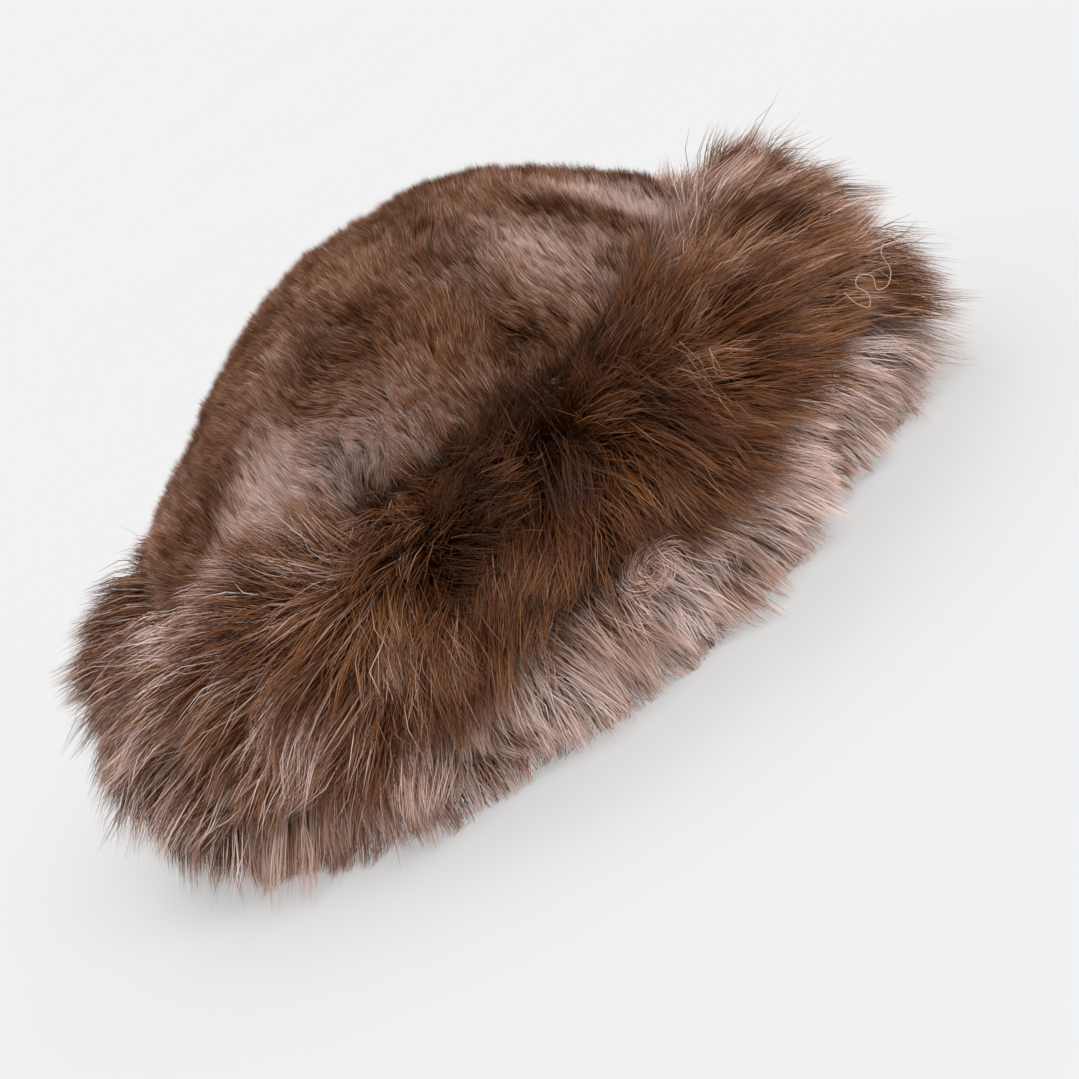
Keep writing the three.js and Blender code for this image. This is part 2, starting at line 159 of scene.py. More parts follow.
# Where the upper brim's hair turns off its comb: place in degrees about Z, half width in degrees,
# more lean, sideways turn, more tone and how much more the tufts differ in tone. The darker tone
# at -134 is painted shade in a gap between locks. The paler, more streaked tone from -176 to -150
# is partly the hair's own and partly a painted sheen.
COWLICKS = table(
    "turn width lean side tone streaks",
    (-150, 18, 6, -20, 0.06, 2.0),
    (-134, 6, -4, 0, -0.16, 0.0),
    (-120, 10, 2, -14, -0.02, 0.8),
    (-90, 18, 4, -4, -0.08, 0.0),
    (-62, 14, -4, 12, -0.02, 0.0),
    (-36, 12, 2, 14, 0.08, 0.0),
    (-10, 14, 0, 6, 0.14, 0.4),
    (37, 12, -20, 12, -0.04, 0.4),
    (82, 14, 4, -12, 0.1, 0.6),
    (116, 11, 0, 10, -0.06, 0.2),
    (142, 12, 0, -8, 0.08, 0.8),
    (168, 11, -8, -4, -0.06, 0.2),
    (-176, 12, -8, 4, 0.1, 1.0),
)

# Tufts on the upper brim: the middle in degrees about Z and from the seam (0) to the edge (1), half
# the width and half the depth in the same units, more lean, length as a share, more tone and how
# many more degrees the hair strays. The darkest one, in front at the seam, is painted shade in the
# crease between crown and brim.
TUFTS = table(
    "turn along wide deep lean length tone stray",
    (-148, 1.0, 9, 0.35, -24, 1.2, 0.04, 4),
    (-126, 0.1, 16, 0.25, 30, 1.15, 0.2, 4),
    (-136, 0.62, 12, 0.16, 16, 1.0, 0.06, 2),
    (-136, 0.9, 14, 0.1, -30, 0.85, 0.1, 2),
    (-117, 1.0, 9, 0.4, -20, 1.35, 0.0, 2),
    (-96, 0.55, 14, 0.3, 8, 0.9, -0.1, 10),
    (-80, 0.1, 20, 0.22, 24, 0.7, -0.26, 16),
    (-68, 0.4, 12, 0.25, 10, 0.9, -0.12, 10),
    (-40, 0.1, 14, 0.25, 16, 0.8, -0.06, 4),
    (-26, 1.0, 14, 0.4, -34, 1.25, 0.04, 2),
    (-14, 0.1, 14, 0.25, 26, 0.9, 0.18, 2),
    (18, 0.7, 7, 0.25, 62, 1.3, 0.12, 0),
    (30, 0.1, 10, 0.25, -30, 0.5, 0.0, 0),
    (46, 0.1, 26, 0.6, -50, 0.7, 0.0, 0),
    (130, 0.1, 30, 0.25, 0, 0.65, 0.0, 0),
)

# Where the crown's pile is longer, low down: place and half width in degrees about Z, how much
# longer as a share, and the share of the crown's rise where that ends.
CROWN_SHAGGY = table(
    "turn width longer up_to",
    (-128, 30, 1.2, 0.3),
    (-40, 16, 0.6, 0.3),
)
SEAM_SHAGGY = {"longer": 0.5, "up_to": 0.06}

# Soft patches on the crown: the middle in degrees about Z and as a share of the rise, half the
# width and half the height in the same units, and how much paler the pile looks there. The pale
# patch at -47 is a painted highlight on the lobe beside the dent. The dark ones at -27, in that
# dent's crease, and at -80, low in front by the seam, are painted shade. The rest vary the pile's
# own tone.
CROWN_PATCHES_AND_PAINTED_LIGHT = table(
    "turn rise wide tall tone",
    (-118, 0.38, 23, 0.23, 0.5),
    (-47, 0.56, 12, 0.28, 0.36),
    (-27, 0.5, 5, 0.35, -0.2),
    (-13, 0.38, 13, 0.27, 0.6),
    (-20, 0.06, 14, 0.12, 0.3),
    (-80, 0.02, 24, 0.12, -0.3),
    (-76, 0.5, 14, 0.2, -0.08),
    (55, 0.5, 22, 0.25, 0.1),
    (100, 0.3, 16, 0.3, -0.08),
    (145, 0.4, 20, 0.22, 0.12),
)

# The whorl of pale hair low on the front of the brim: its middle in degrees about Z, its radius
# and height, half its width, how many degrees its hair turns round it and its number of hairs.
# It is lower than it is wide. Its hair starts deep, ends near the surface and is out of place by a
# few millimetres, and it faces a little up. The last row is how its hairs differ from each other:
# in twist and in reach as shares, in tone, in width as a share and in roll.
WHORL = {
    "turn": -79, "radius": 133, "height": 37, "wide": 8, "twist": 230, "count": 260,
    "oval": 0.7, "upward": 0.35, "tone": 0.68, "roots_deep": (-4.5, -1.5),
    "tips_deep": (-1.5, 1.5), "off_across": (-2.5, 2.5), "off_up": (-1.5, 1.5),
    "twists": (0.5, 1.0), "reaches": (0.3, 1.0), "tones": 0.16, "widths": (0.6, 1.2), "rolls": 0.4,
}

# Slow waves over the hat that steer its hair: each one's size in millimetres and its strength, in
# degrees for the brim's lean and side and as a share for the rest.
CROWN_WAVES = {
    "across": (70, 0.4), "deep": (70, 0.4), "ripple": (20, 1.0), "lift": (20, 0.3),
    "tone": (46, 0.05), "fleck": (12, 0.04),
}
UPPER_WAVES = {"lean": (40, 17), "side": (38, 32), "tone": (42, 0.06), "length": (26, 0.2)}
UNDER_WAVES = {"lean": (38, 13), "side": (38, 40), "tone": (40, 0.1), "length": (24, 0.2)}
CROWN_WAVE_SEED = 40
UPPER_WAVE_SEED = 70
UNDER_WAVE_SEED = 100

# A loose thread on the brim's right: across, deep and up from the hat's middle.
LOOSE_THREAD = (
    (119.0, -72.0, 51.5),
    (120.0, -74.0, 47.0),
    (122.5, -74.5, 44.0),
    (124.5, -73.5, 47.0),
    (123.0, -73.0, 51.0),
    (125.5, -71.0, 52.5),
    (129.0, -69.5, 49.5),
    (128.0, -70.0, 45.5),
    (132.0, -67.5, 44.0),
    (135.5, -64.5, 46.5),
    (136.0, -63.0, 51.5),
    (139.0, -60.0, 53.0),
)

# The under brim's hair in three zones, inside the opening, over the surface and up the outer side:
# how densely it grows, its lean in degrees and length as a share, and what the zone adds to both.
UNDER_ZONES = table(
    "dense lean leans_on length grows_on",
    (0.45, -84.0, 0.0, 0.8, 0.0),
    (0.45, -12.0, 0.0, 0.5, 0.0),
    (2.4, -72.0, 34.0, 0.42, 0.42),
)

# The under brim's hair round the hat: its tone, and its length as a share.
UNDER_HAIR = table(
    "turn tone length",
    (-168, 0.6, 1.05),
    (-116, 0.64, 1.1),
    (-108, 0.66, 0.6),
    (-98, 0.8, 1.05),
    (-56, 0.9, 1.05),
    (-46, 0.9, 0.6),
    (-36, 0.9, 0.8),
    (-16, 0.86, 1.6),
    (0, 0.7, 1.1),
    (50, 0.6, 1.0),
    (130, 0.55, 1.0),
)


def hermite(rows, key, place):
    """A table's column at places counted in rows, as a smooth curve through every row."""
    column = np.array([row[key] for row in rows], float)
    first = 2 * column[0] - column[1]
    last = column[-2] if key == "rise" else 2 * column[-1] - column[-2]
    column = np.concatenate(([first], column, [last, last]))
    at = np.clip(np.asarray(place, float), 0, len(rows) - 1)
    i = at.astype(int)
    t = at - i
    a, b, c, d = column[i], column[i + 1], column[i + 2], column[np.minimum(i + 3, len(column) - 1)]
    slope_in, slope_out = (c - a) / 2, (d - b) / 2
    return (
        (2 * t**3 - 3 * t**2 + 1) * b
        + (t**3 - 2 * t**2 + t) * slope_in
        + (3 * t**2 - 2 * t**3) * c
        + (t**3 - t**2) * slope_out
    )


def round_table(rows, key, turn):
    """A column of a table round the hat, at turns in radians."""
    first = rows[0]["turn"]
    degrees = (np.degrees(turn) - first) % 360 + first
    marks = np.array([row["turn"] for row in rows] + [360 + first], float)
    values = np.array([row[key] for row in rows] + [rows[0][key]], float)
    i = np.clip(np.searchsorted(marks, degrees, side="right") - 1, 0, len(rows) - 1)
    t = (degrees - marks[i]) / (marks[i + 1] - marks[i])
    return values[i] + (values[i + 1] - values[i]) * t * t * (3 - 2 * t)


def ahead_of(turn, radius, height):
    """Points at turns about Z, as an array with x, y and z last."""
    return np.stack((radius * np.cos(turn), radius * np.sin(turn), height + 0 * radius), -1)


def bump(turn, middle, width):
    """A smooth hump round a turn, both in degrees, for turns in radians."""
    off = (np.degrees(turn) - middle + 180) % 360 - 180
    return np.exp(-((off / width) ** 2))


def unit(v):
    """Vectors scaled to length 1."""
    return v / np.maximum(np.linalg.norm(v, axis=-1, keepdims=True), 1e-9)


def crown_outline(turn, row):
    """The outside of the crown's pile, at a turn and a row of the section table."""
    rise = hermite(CROWN_SECTIONS, "rise", row)
    across = np.where(
        np.cos(turn) > 0,
        hermite(CROWN_SECTIONS, "right", row),
        hermite(CROWN_SECTIONS, "left", row),
    )
    deep = np.where(
        np.sin(turn) > 0,
        hermite(CROWN_SECTIONS, "back", row),
        hermite(CROWN_SECTIONS, "front", row),
    )
    across, deep = np.maximum(across, 1e-4), np.maximum(deep, 1e-4)
    radius = CROWN_RADIUS / np.hypot(np.cos(turn) / across, np.sin(turn) / deep)
    for dent in CROWN_DENTS:
        up = np.clip((rise - dent["low"]) / (dent["high"] - dent["low"]), 0, 1)
        middle = dent["foot"] + (dent["head"] - dent["foot"]) * up
        hump = bump(turn, middle, dent["width"]) * np.sin(np.pi * up)
        radius = radius - dent["depth"] * CROWN_RADIUS * hump
    return ahead_of(turn, np.maximum(radius, 0), SEAM_HEIGHT + CROWN_RISE * rise)


def brim_cloth(turn, along):
    """The brim's cloth, from the seam (0) to its edge (1)."""
    reach = round_table(BRIM_LOBES, "reach", turn)
    lift = round_table(BRIM_LOBES, "lift", turn) * BRIM_DROP
    bow = BRIM_BULGE * 4 * along * (1 - along)
    radius = HEAD_RADIUS + BRIM_REACH * reach * along + bow * BRIM_BOW
    return ahead_of(turn, radius, SEAM_HEIGHT - (BRIM_DROP - lift) * along + bow)


def cloth_slope(turn, along):
    """The brim cloth's slope away from the crown, in degrees."""
    near, far = brim_cloth(turn, along), brim_cloth(turn, along + 0.02)
    reach = np.hypot(far[:, 0], far[:, 1]) - np.hypot(near[:, 0], near[:, 1])
    return np.degrees(np.arctan2(far[:, 2] - near[:, 2], reach))


def under_core(turn, place):
    """What the under brim's hair grows from: the inside of the opening (0 to 1), the face over
    the surface (1 to 2) and the outer side up to the cloth's edge (2 to 3)."""
    core, level = UNDER_CORE, np.ones_like(turn)
    edge = brim_cloth(turn, level)
    edge_radius, opening = np.hypot(edge[..., 0], edge[..., 1]), level * HEAD_RADIUS
    stops = (
        (0.0, opening + core["opening_out"], level * (SEAM_HEIGHT - core["opening_down"])),
        (1.0, opening + core["foot_out"], level * core["foot_height"]),
        (2.0, edge_radius - core["edge_in"], level * core["foot_height"]),
        (3.0, edge_radius + core["edge_out"], edge[..., 2] - core["edge_down"]),
    )
    radius, height = stops[0][1], stops[0][2]
    for (low, r0, z0), (high, r1, z1) in zip(stops, stops[1:]):
        share = np.clip((place - low) / (high - low), 0, 1)
        radius = np.where(place >= low, r0 + (r1 - r0) * share, radius)
        height = np.where(place >= low, z0 + (z1 - z0) * share, height)
    return ahead_of(turn, radius, height)


class Shell:
    """A surface round the Z axis, as a grid of points, that hair grows from."""

    def __init__(self, surface, start, end, rows, outward=1.0, sink=0.0, columns=COLUMNS):
        turn = np.linspace(0, 2 * np.pi, columns + 1)
        place = np.linspace(start, end, rows + 1)
        self.turn, self.place = np.meshgrid(turn, place)
        points = surface(self.turn, self.place)
        self.normal = self.facing(points) * outward
        self.points = points - self.normal * sink

    @staticmethod
    def facing(points):
        """The way out of each grid point."""
        round_the_hat = np.roll(points[:, :-1], -1, 1) - np.roll(points[:, :-1], 1, 1)
        round_the_hat = np.concatenate((round_the_hat, round_the_hat[:, :1]), 1)
        along = np.gradient(points, axis=0)
        return unit(np.cross(round_the_hat, along))

    def scatter(self, count, dice, weight=None):
        """Hair roots spread evenly over the surface, or by a weight."""
        p = self.points
        one = np.linalg.norm(np.cross(p[1:, :-1] - p[:-1, :-1], p[:-1, 1:] - p[:-1, :-1]), axis=-1)
        two = np.linalg.norm(np.cross(p[1:, 1:] - p[1:, :-1], p[1:, 1:] - p[:-1, 1:]), axis=-1)
        share = one + two
        if weight is not None:
            share = share * weight(self.turn[:-1, :-1], self.place[:-1, :-1])
        total = np.cumsum(share.ravel())
        pick = np.searchsorted(total, dice.random(count) * total[-1])
        j, i = np.unravel_index(np.minimum(pick, share.size - 1), share.shape)
        u, v = dice.random(count)[:, None], dice.random(count)[:, None]

        def blend(grid):
            near = grid[j, i] * (1 - u) + grid[j, i + 1] * u
            far = grid[j + 1, i] * (1 - u) + grid[j + 1, i + 1] * u
            return near * (1 - v) + far * v

        root = blend(self.points)
        normal = unit(blend(self.normal))
        turn = self.turn[j, i] + u[:, 0] * (self.turn[0, 1] - self.turn[0, 0])
        place = self.place[j, i] + v[:, 0] * (self.place[1, 0] - self.place[0, 0])
        return {"root": root, "normal": normal, "turn": turn, "place": place}


class Drift:
    """A smooth wandering value over space, about -1 to 1, made of a few slow waves."""

    MOST = 1.6

    def __init__(self, dice, size, waves=7):
        self.wave = dice.normal(0, 1, (waves, 3)) * (2 * np.pi / size)
        self.shift = dice.random(waves) * 2 * np.pi

    def __call__(self, points):
        total = np.sin(points @ self.wave.T + self.shift).sum(-1)
        return np.clip(total / math.sqrt(len(self.shift)), -self.MOST, self.MOST)


def waves_at(points, waves, first_seed):
    """The value at points of each wave of a table, by its name, the same for every piece."""
    return {
        name: strength * Drift(np.random.default_rng(first_seed + k), size)(points)
        for k, (name, (size, strength)) in enumerate(waves.items())
    }


# How a hair grows: how many radians its curl turns from root to tip and how late it bends. A hair
# drawn to another comes nearly straight to it, and keeps less and less of its own place.
CURL_TURNS = 5.2
BENDS_LATE = 1.15
DRAWN_LATE = 0.9
CLOSES_UP = 0.55


def grown(roots, way, length, steps, bend, bend_by, curl, dice):
    """Each hair's points, from root to tip: it starts its way, bends towards a vector and waves."""
    hairs = np.zeros((len(way), len(steps), 3))
    hairs[:, 0] = roots
    side = unit(np.cross(way, bend + 1e-4))
    phase = dice.random(len(way)) * 2 * np.pi
    for k in range(1, len(steps)):
        middle = (steps[k] + steps[k - 1]) / 2
        wave = np.sin(phase + CURL_TURNS * middle)[:, None] * curl[:, None]
        heading = unit(way + bend * (bend_by * middle**BENDS_LATE)[:, None] + side * wave)
        hairs[:, k] = hairs[:, k - 1] + heading * (length * (steps[k] - steps[k - 1]))[:, None]
    return hairs


def gathered(hairs, steps, leaders, pull, tight):
    """Hairs drawn towards the nearest leader, more so towards their tips."""
    tree = kdtree.KDTree(len(leaders))
    for number, hair in enumerate(leaders):
        tree.insert(hair[0], number)
    tree.balance()
    nearest = np.array([tree.find(hair)[1] for hair in hairs[:, 0].tolist()])
    leader = leaders[nearest]
    offset = hairs[:, :1] - leader[:, :1]
    share = (pull[:, None] * np.asarray(steps)[None] ** DRAWN_LATE)[:, :, None]
    apart = tight * (1 - CLOSES_UP * np.asarray(steps))[None, :, None]
    return hairs * (1 - share) + (leader + offset * apart) * share, nearest


# The lowest that hair may come, and a ribbon's place on its map: half its width there, and the
# share of the map's height that it takes, in from the edge.
LEAST_HEIGHT = 0.3
MAP_HALF_WIDTH = 0.5 / 1024
MAP_TALL = 0.98
MAP_EDGE = 0.01


def in_scene(name, data):
    """An object of its own for a mesh, a lamp or a camera."""
    piece = bpy.data.objects.new(name, data)
    bpy.context.scene.collection.objects.link(piece)
    return piece


def ribbons(name, hairs, facing, width, profile, tone, steps, material, roll):
    """One mesh with a tapering ribbon for each hair. A ribbon faces out of the fur, give or take
    its roll, and its map runs from its tone across to its length up."""
    count, points = hairs.shape[:2]
    heading = unit(np.gradient(hairs, axis=1))
    across = unit(np.cross(heading, facing[:, None]))
    lift = np.cross(heading, across)
    across = across * np.cos(roll)[:, None, None] + lift * np.sin(roll)[:, None, None]
    half = (width[:, None] * np.asarray(profile)[None] / 2)[:, :, None]
    left, right = hairs - across * half, hairs + across * half
    pairs = points - 1
    vertices = np.empty((count, 2 * pairs + 1, 3))
    vertices[:, 0 : 2 * pairs : 2] = left[:, :pairs]
    vertices[:, 1 : 2 * pairs : 2] = right[:, :pairs]
    vertices[:, -1] = hairs[:, -1]
    faces = [(2 * k, 2 * k + 1, 2 * k + 3, 2 * k + 2) for k in range(pairs - 1)]
    faces.append((2 * pairs - 2, 2 * pairs - 1, 2 * pairs))
    corners = np.concatenate([np.array(face) for face in faces])
    sizes = np.array([len(face) for face in faces])
    stride = 2 * pairs + 1
    corner = (corners[None] + np.arange(count)[:, None] * stride).ravel()
    start = np.concatenate(([0], np.cumsum(np.tile(sizes, count))[:-1]))

    vertices[..., 2] = np.maximum(vertices[..., 2], LEAST_HEIGHT)
    mesh = bpy.data.meshes.new(name)
    mesh.vertices.add(count * stride)
    mesh.loops.add(len(corner))
    mesh.polygons.add(len(start))
    mesh.vertices.foreach_set("co", (vertices * MM).astype(np.float32).ravel())
    mesh.loops.foreach_set("vertex_index", corner.astype(np.int32))
    mesh.polygons.foreach_set("loop_start", start.astype(np.int32))
    mesh.update(calc_edges=True)
    mesh.polygons.foreach_set("use_smooth", np.ones(len(start), bool))

    along = np.empty(stride)
    along[0 : 2 * pairs : 2] = along[1 : 2 * pairs : 2] = np.asarray(steps)[:pairs]
    along[-1] = 1.0
    tones = np.repeat(np.clip(tone, 0.01, 0.99), stride)
    alongs = np.tile(along, count)
    for label, values in (("tone", tones), ("along", alongs)):
        marked = mesh.attributes.new(label, "FLOAT", "POINT")
        marked.data.foreach_set("value", values.astype(np.float32))
    sideways = np.full(stride, MAP_HALF_WIDTH)
    sideways[0 : 2 * pairs : 2] *= -1
    sideways[-1] = 0.0
    flat = np.stack((tones + np.tile(sideways, count), alongs * MAP_TALL + MAP_EDGE), -1)[corner]
    mesh.uv_layers.new(name="OFBake").data.foreach_set("uv", flat.astype(np.float32).ravel())
    mesh.materials.append(material)
    mesh.update()
    return in_scene(name, mesh)


def shell_piece(name, layers, materials, material_of):
    """A closed mesh round the Z axis, skinned over rings of points given in order."""
    rings = [layer[:-1] for layer in layers]
    count = len(rings[0])
    vertices = np.concatenate(rings) * MM
    faces, numbers = [], []
    for j in range(len(rings)):
        following = (j + 1) % len(rings)
        for i in range(count):
            k = (i + 1) % count
            ends = j * count, following * count
            faces.append((ends[0] + i, ends[0] + k, ends[1] + k, ends[1] + i))
            numbers.append(material_of(j))
    mesh = bpy.data.meshes.new(name)
    mesh.from_pydata(vertices.tolist(), [], faces)
    mesh.polygons.foreach_set("material_index", np.array(numbers, np.int32))
    mesh.polygons.foreach_set("use_smooth", np.ones(len(faces), bool))
    for material in materials:
        mesh.materials.append(material)
    mesh.validate()
    mesh.update()
    return in_scene(name, mesh)


def placed(piece, material_slot, *nodes):
    """Sets a finished piece on the frame."""
    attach(piece, "root")
    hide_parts(*nodes)


class Wire:
    """A value's socket, so that sums on it add Math nodes."""

    def __init__(self, finish, socket):
        self.finish, self.socket = finish, socket

    def math(self, operation, first, second=0.0):
        return self.finish.node("ShaderNodeMath", {"operation": operation}, {0: first, 1: second})

    def __add__(self, other):
        return self.math("ADD", self, other)

    def __mul__(self, other):
        return self.math("MULTIPLY", self, other)

    def __sub__(self, other):
        return self.math("SUBTRACT", self, other)

    def __rsub__(self, other):
        return self.math("SUBTRACT", other, self)

    def __pow__(self, other):
        return self.math("POWER", self, other)

    __radd__ = __add__
    __rmul__ = __mul__

    def clamped(self):
        return self.math("MINIMUM", self.math("MAXIMUM", self, 0.0), 1.0)


class Finish:
    """A material and the nodes that make it."""

    def __init__(self, name):
        self.material = bpy.data.materials.new(name)
        self.material.use_nodes = True
        self.tree = self.material.node_tree
        self.tree.nodes.clear()

    def node(self, kind, settings=None, values=None, output=0):
        """Adds a node: its type, its settings first, then its sockets' values or links."""
        node = self.tree.nodes.new(kind)
        for name, value in (settings or {}).items():
            if name == "stops":
                self.set_stops(node.color_ramp, value)
            else:
                setattr(node, name, value)
        for name, value in (values or {}).items():
            if isinstance(value, Wire):
                self.tree.links.new(value.socket, node.inputs[name])
            else:
                node.inputs[name].default_value = value
        return Wire(self, node.outputs[output]) if node.outputs else None

    @staticmethod
    def set_stops(ramp, stops):
        while len(ramp.elements) > 1:
            ramp.elements.remove(ramp.elements[-1])
        for number, (place, colour) in enumerate(stops):
            element = ramp.elements[0] if number == 0 else ramp.elements.new(place)
            element.position = place
            element.color = (*colour, 1.0)

    def attribute(self, name):
        return self.node("ShaderNodeAttribute", {"attribute_name": name}, output=2)

    def blend(self, share, first, second):
        """A share of the second colour over the first."""
        return self.node(
            "ShaderNodeMix", {"data_type": "RGBA"}, {0: share, 6: first, 7: second}, output=2
        )

    def surface(self, values):
        """The shader itself, joined to the output."""
        shader = self.node("ShaderNodeBsdfPrincipled", None, values)
        self.node("ShaderNodeOutputMaterial", None, {"Surface": shader})
        return self.material


def linear(colour):
    """A screen colour from 0 to 255 as the linear one that shaders use."""
    return tuple((c / 255) ** 2.2 for c in colour)


# How hair darkens to its root, partly its own dark roots and partly painted shade deep in the pile,
# and pales to its tip, and how strongly pale tips show.
ROOT_FADE = 1.6
ROOT_DEPTH = 0.9
TIP_RISE = 3.0
FROST = 0.08
UNDER_FROST = 0.3


def fur_finish(name, colours, frost):
    """Hair that is dark at its root, partly as painted shade deep in the pile, its own tone along it
    and paler at its tip.
    """
    finish = Finish(name)
    tone, along = finish.attribute("tone"), finish.attribute("along")
    ramp = finish.node(
        "ShaderNodeValToRGB",
        {
            "stops": (
                (0.0, tuple(colours.umber)),
                (0.25, tuple(colours.dark)),
                (0.5, tuple(colours.middle)),
                (0.74, tuple(colours.warm)),
                (0.97, tuple(colours.pale)),
            )
        },
        {0: tone},
    )
    # Dark roots: partly their own colour and partly painted shade deep in the pile.
    dark_root_and_shade = ((1 - along) ** ROOT_FADE * ROOT_DEPTH).clamped()
    body = finish.blend(dark_root_and_shade, ramp, (*colours.deep, 1.0))
    tipped = (along**TIP_RISE * frost).clamped()
    hair = finish.blend(tipped, body, (*colours.frost, 1.0))
    return finish.surface(
        {
            "Base Color": hair,
            "Roughness": 0.52,
            "Specular IOR Level": 0.06,
        }
    )


def underfur_finish(colours):
    """The cloth's hair side, painted with the dark shade deep between the roots."""
    finish = Finish("underfur_painted_shade")
    fuzz = finish.node(
        "ShaderNodeTexNoise", None, {"Scale": 900.0, "Detail": 3.0, "Roughness": 0.7}
    )
    colour = finish.node(
        "ShaderNodeValToRGB",
        {"stops": ((0.3, tuple(0.5 * c for c in colours.deep)), (0.75, tuple(colours.dark)))},
        {0: fuzz},
    )
    rough = finish.node(
        "ShaderNodeBump", None, {"Strength": 0.8, "Distance": 0.0012, "Height": fuzz}
    )
    return finish.surface({"Base Color": colour, "Roughness": 0.9, "Normal": rough})


def knit_finish(colours):
    """The knitted back of the pile cloth: fine ribs of loops, a little uneven, with painted shade in
    the grooves between them.
    """
    finish = Finish("knit")
    place = finish.node("ShaderNodeTexCoord", output=3)
    ribs = finish.node(
        "ShaderNodeTexWave",
        {"wave_type": "BANDS", "bands_direction": "DIAGONAL"},
        {"Vector": place, "Scale": 190.0, "Distortion": 3.0, "Detail": 2.0, "Detail Scale": 1.5},
        output=1,
    )
    loops = finish.node(
        "ShaderNodeTexWave",
        {"wave_type": "BANDS", "bands_direction": "Z"},
        {"Vector": place, "Scale": 260.0, "Distortion": 2.0, "Detail": 1.0},
        output=1,
    )
    blotch = finish.node(
        "ShaderNodeTexNoise", None, {"Vector": place, "Scale": 30.0, "Detail": 4.0}
    )
    relief = ribs * 0.6 + loops * 0.4
    # Darker where the ribs and loops are low: painted shade in the grooves, with uneven blotches of
    # the knit's own.
    shade = (relief * 0.6 + blotch * 0.5).clamped()
    colour = finish.blend(shade, (*(0.42 * c for c in colours.knit), 1.0), (*colours.knit, 1.0))
    raised = finish.node(
        "ShaderNodeBump", None, {"Strength": 0.6, "Distance": 0.0006, "Height": relief}
    )
    return finish.surface(
        {"Base Color": colour, "Roughness": 0.85, "Sheen Weight": 0.2, "Normal": raised}
    )


def thread_finish(name, colour):
    """A spun thread, a little uneven in colour."""
    finish = Finish(name)
    twist = finish.node("ShaderNodeTexNoise", None, {"Scale": 700.0, "Detail": 2.0})
    shade = finish.blend(twist, (*(0.55 * c for c in colour), 1.0), (*colour, 1.0))
    return finish.surface({"Base Color": shade, "Roughness": 0.7})


def floor_finish(colour):
    """Plain pale board."""
    finish = Finish("pale_floor")
    grain = finish.node("ShaderNodeTexNoise", None, {"Scale": 400.0, "Detail": 2.0})
    shade = finish.blend(grain, (*(0.985 * c for c in colour), 1.0), (*colour, 1.0))
    return finish.surface(
        {
            "Base Color": shade,
            "Roughness": 0.95,
            "Specular IOR Level": 0.0,
            "Emission Color": (1.0, 1.0, 1.0, 1.0),
            "Emission Strength": 0.4,
        }
    )


def colour_property(name, description, screen):
    """A colour that a user can change, from its screen colour."""
    return FloatVectorProperty(
        name=name, description=description, subtype="COLOR", size=3, min=0.0, max=1.0,
        default=linear(screen),
    )


def length_property(name, description, metres, least):
    """A length that a user can change."""
    return FloatProperty(
        name=name, description=description, default=metres, min=least, unit="LENGTH"
    )


def count_property(name, description, count):
    """A number of wisps that a user can change."""
    return IntProperty(name=name, description=description, default=count, min=100)


class HatSizes(bpy.types.PropertyGroup):
    """The hair's sizes and how many wisps stand for it"""

    crown_pile: length_property("Crown pile", "Length of the crown's hair", 0.0095, 0.002)
    brim_pile: length_property("Brim pile", "Length of the brim's hair", 0.042, 0.01)
    crown_hair: length_property("Crown hair", "Width of a wisp of the crown", 0.0003, 0.0001)
    brim_hair: length_property("Brim hair", "Width of a wisp of the brim", 0.0003, 0.0001)
    side_count: count_property("Side wisps", "Wisps on the crown's side", 175000)
    top_count: count_property("Top wisps", "Wisps on the crown's top", 115000)
    upper_count: count_property("Upper brim wisps", "Wisps on each half of the upper brim", 38500)
    under_count: count_property("Under brim wisps", "Wisps on the brim's under face", 38500)
    seed: IntProperty(name="Seed", description="Start of the random draws", default=7, min=0)


class HatColours(bpy.types.PropertyGroup):
    """The colours of the hair from root to tip and from dark to pale, and of the rest"""

    # Deep: dark roots, partly their own colour and partly painted shade, and the painted shade of
    # the cloth between them.
    deep: colour_property("Deep", "Hair roots and what lies between them", (34, 13, 5))
    umber: colour_property("Umber", "The darkest hair", (50, 25, 9))
    dark: colour_property("Dark", "Dark brown hair", (94, 52, 22))
    middle: colour_property("Middle", "Brown hair", (140, 92, 54))
    warm: colour_property("Warm", "Light brown hair", (188, 154, 139))
    pale: colour_property("Pale", "Pinkish pale hair", (233, 207, 199))
    frost: colour_property("Frost", "Tips of the hair", (214, 184, 176))
    knit: colour_property("Knit", "Knitted back of the cloth", (150, 118, 96))
    thread: colour_property("Thread", "Loose thread", (216, 188, 154))
    floor: colour_property("Floor", "Floor", (161, 161, 161))


def sizes():
    return bpy.context.scene.hat_sizes


def colours():
    return bpy.context.scene.hat_colours


# Where a ribbon's points lie along it, and how wide it is there as a share.
SHORT_STEPS = (0.0, 1.0)
SHORT_PROFILE = (1.0, 0.0)
LONG_STEPS = (0.0, 0.36, 0.7, 1.0)
LONG_PROFILE = (1.0, 0.95, 0.7, 0.0)
WHORL_STEPS = (0.0, 0.14, 0.28, 0.42, 0.56, 0.7, 0.85, 1.0)
WHORL_PROFILE = (1.0, 1.0, 1.0, 0.9, 0.8, 0.7, 0.5, 0.0)

# The crown's pile: how far it stands off the cloth, its lean to the left, its lean down the crown
# near the seam and up it above, the share of the rise where that turns, in front and behind, and
# how much small ripples lean it to the side and shift that turn.
CROWN_STAND = 0.85
CROWN_LEFTWARD = 0.1
CROWN_UPWARD = 0.85
CROWN_TURNOVER = 0.16
CROWN_TURNOVER_BACK = 0.34
RIPPLE_LEAN = 0.3
RIPPLE_TURN = 0.04

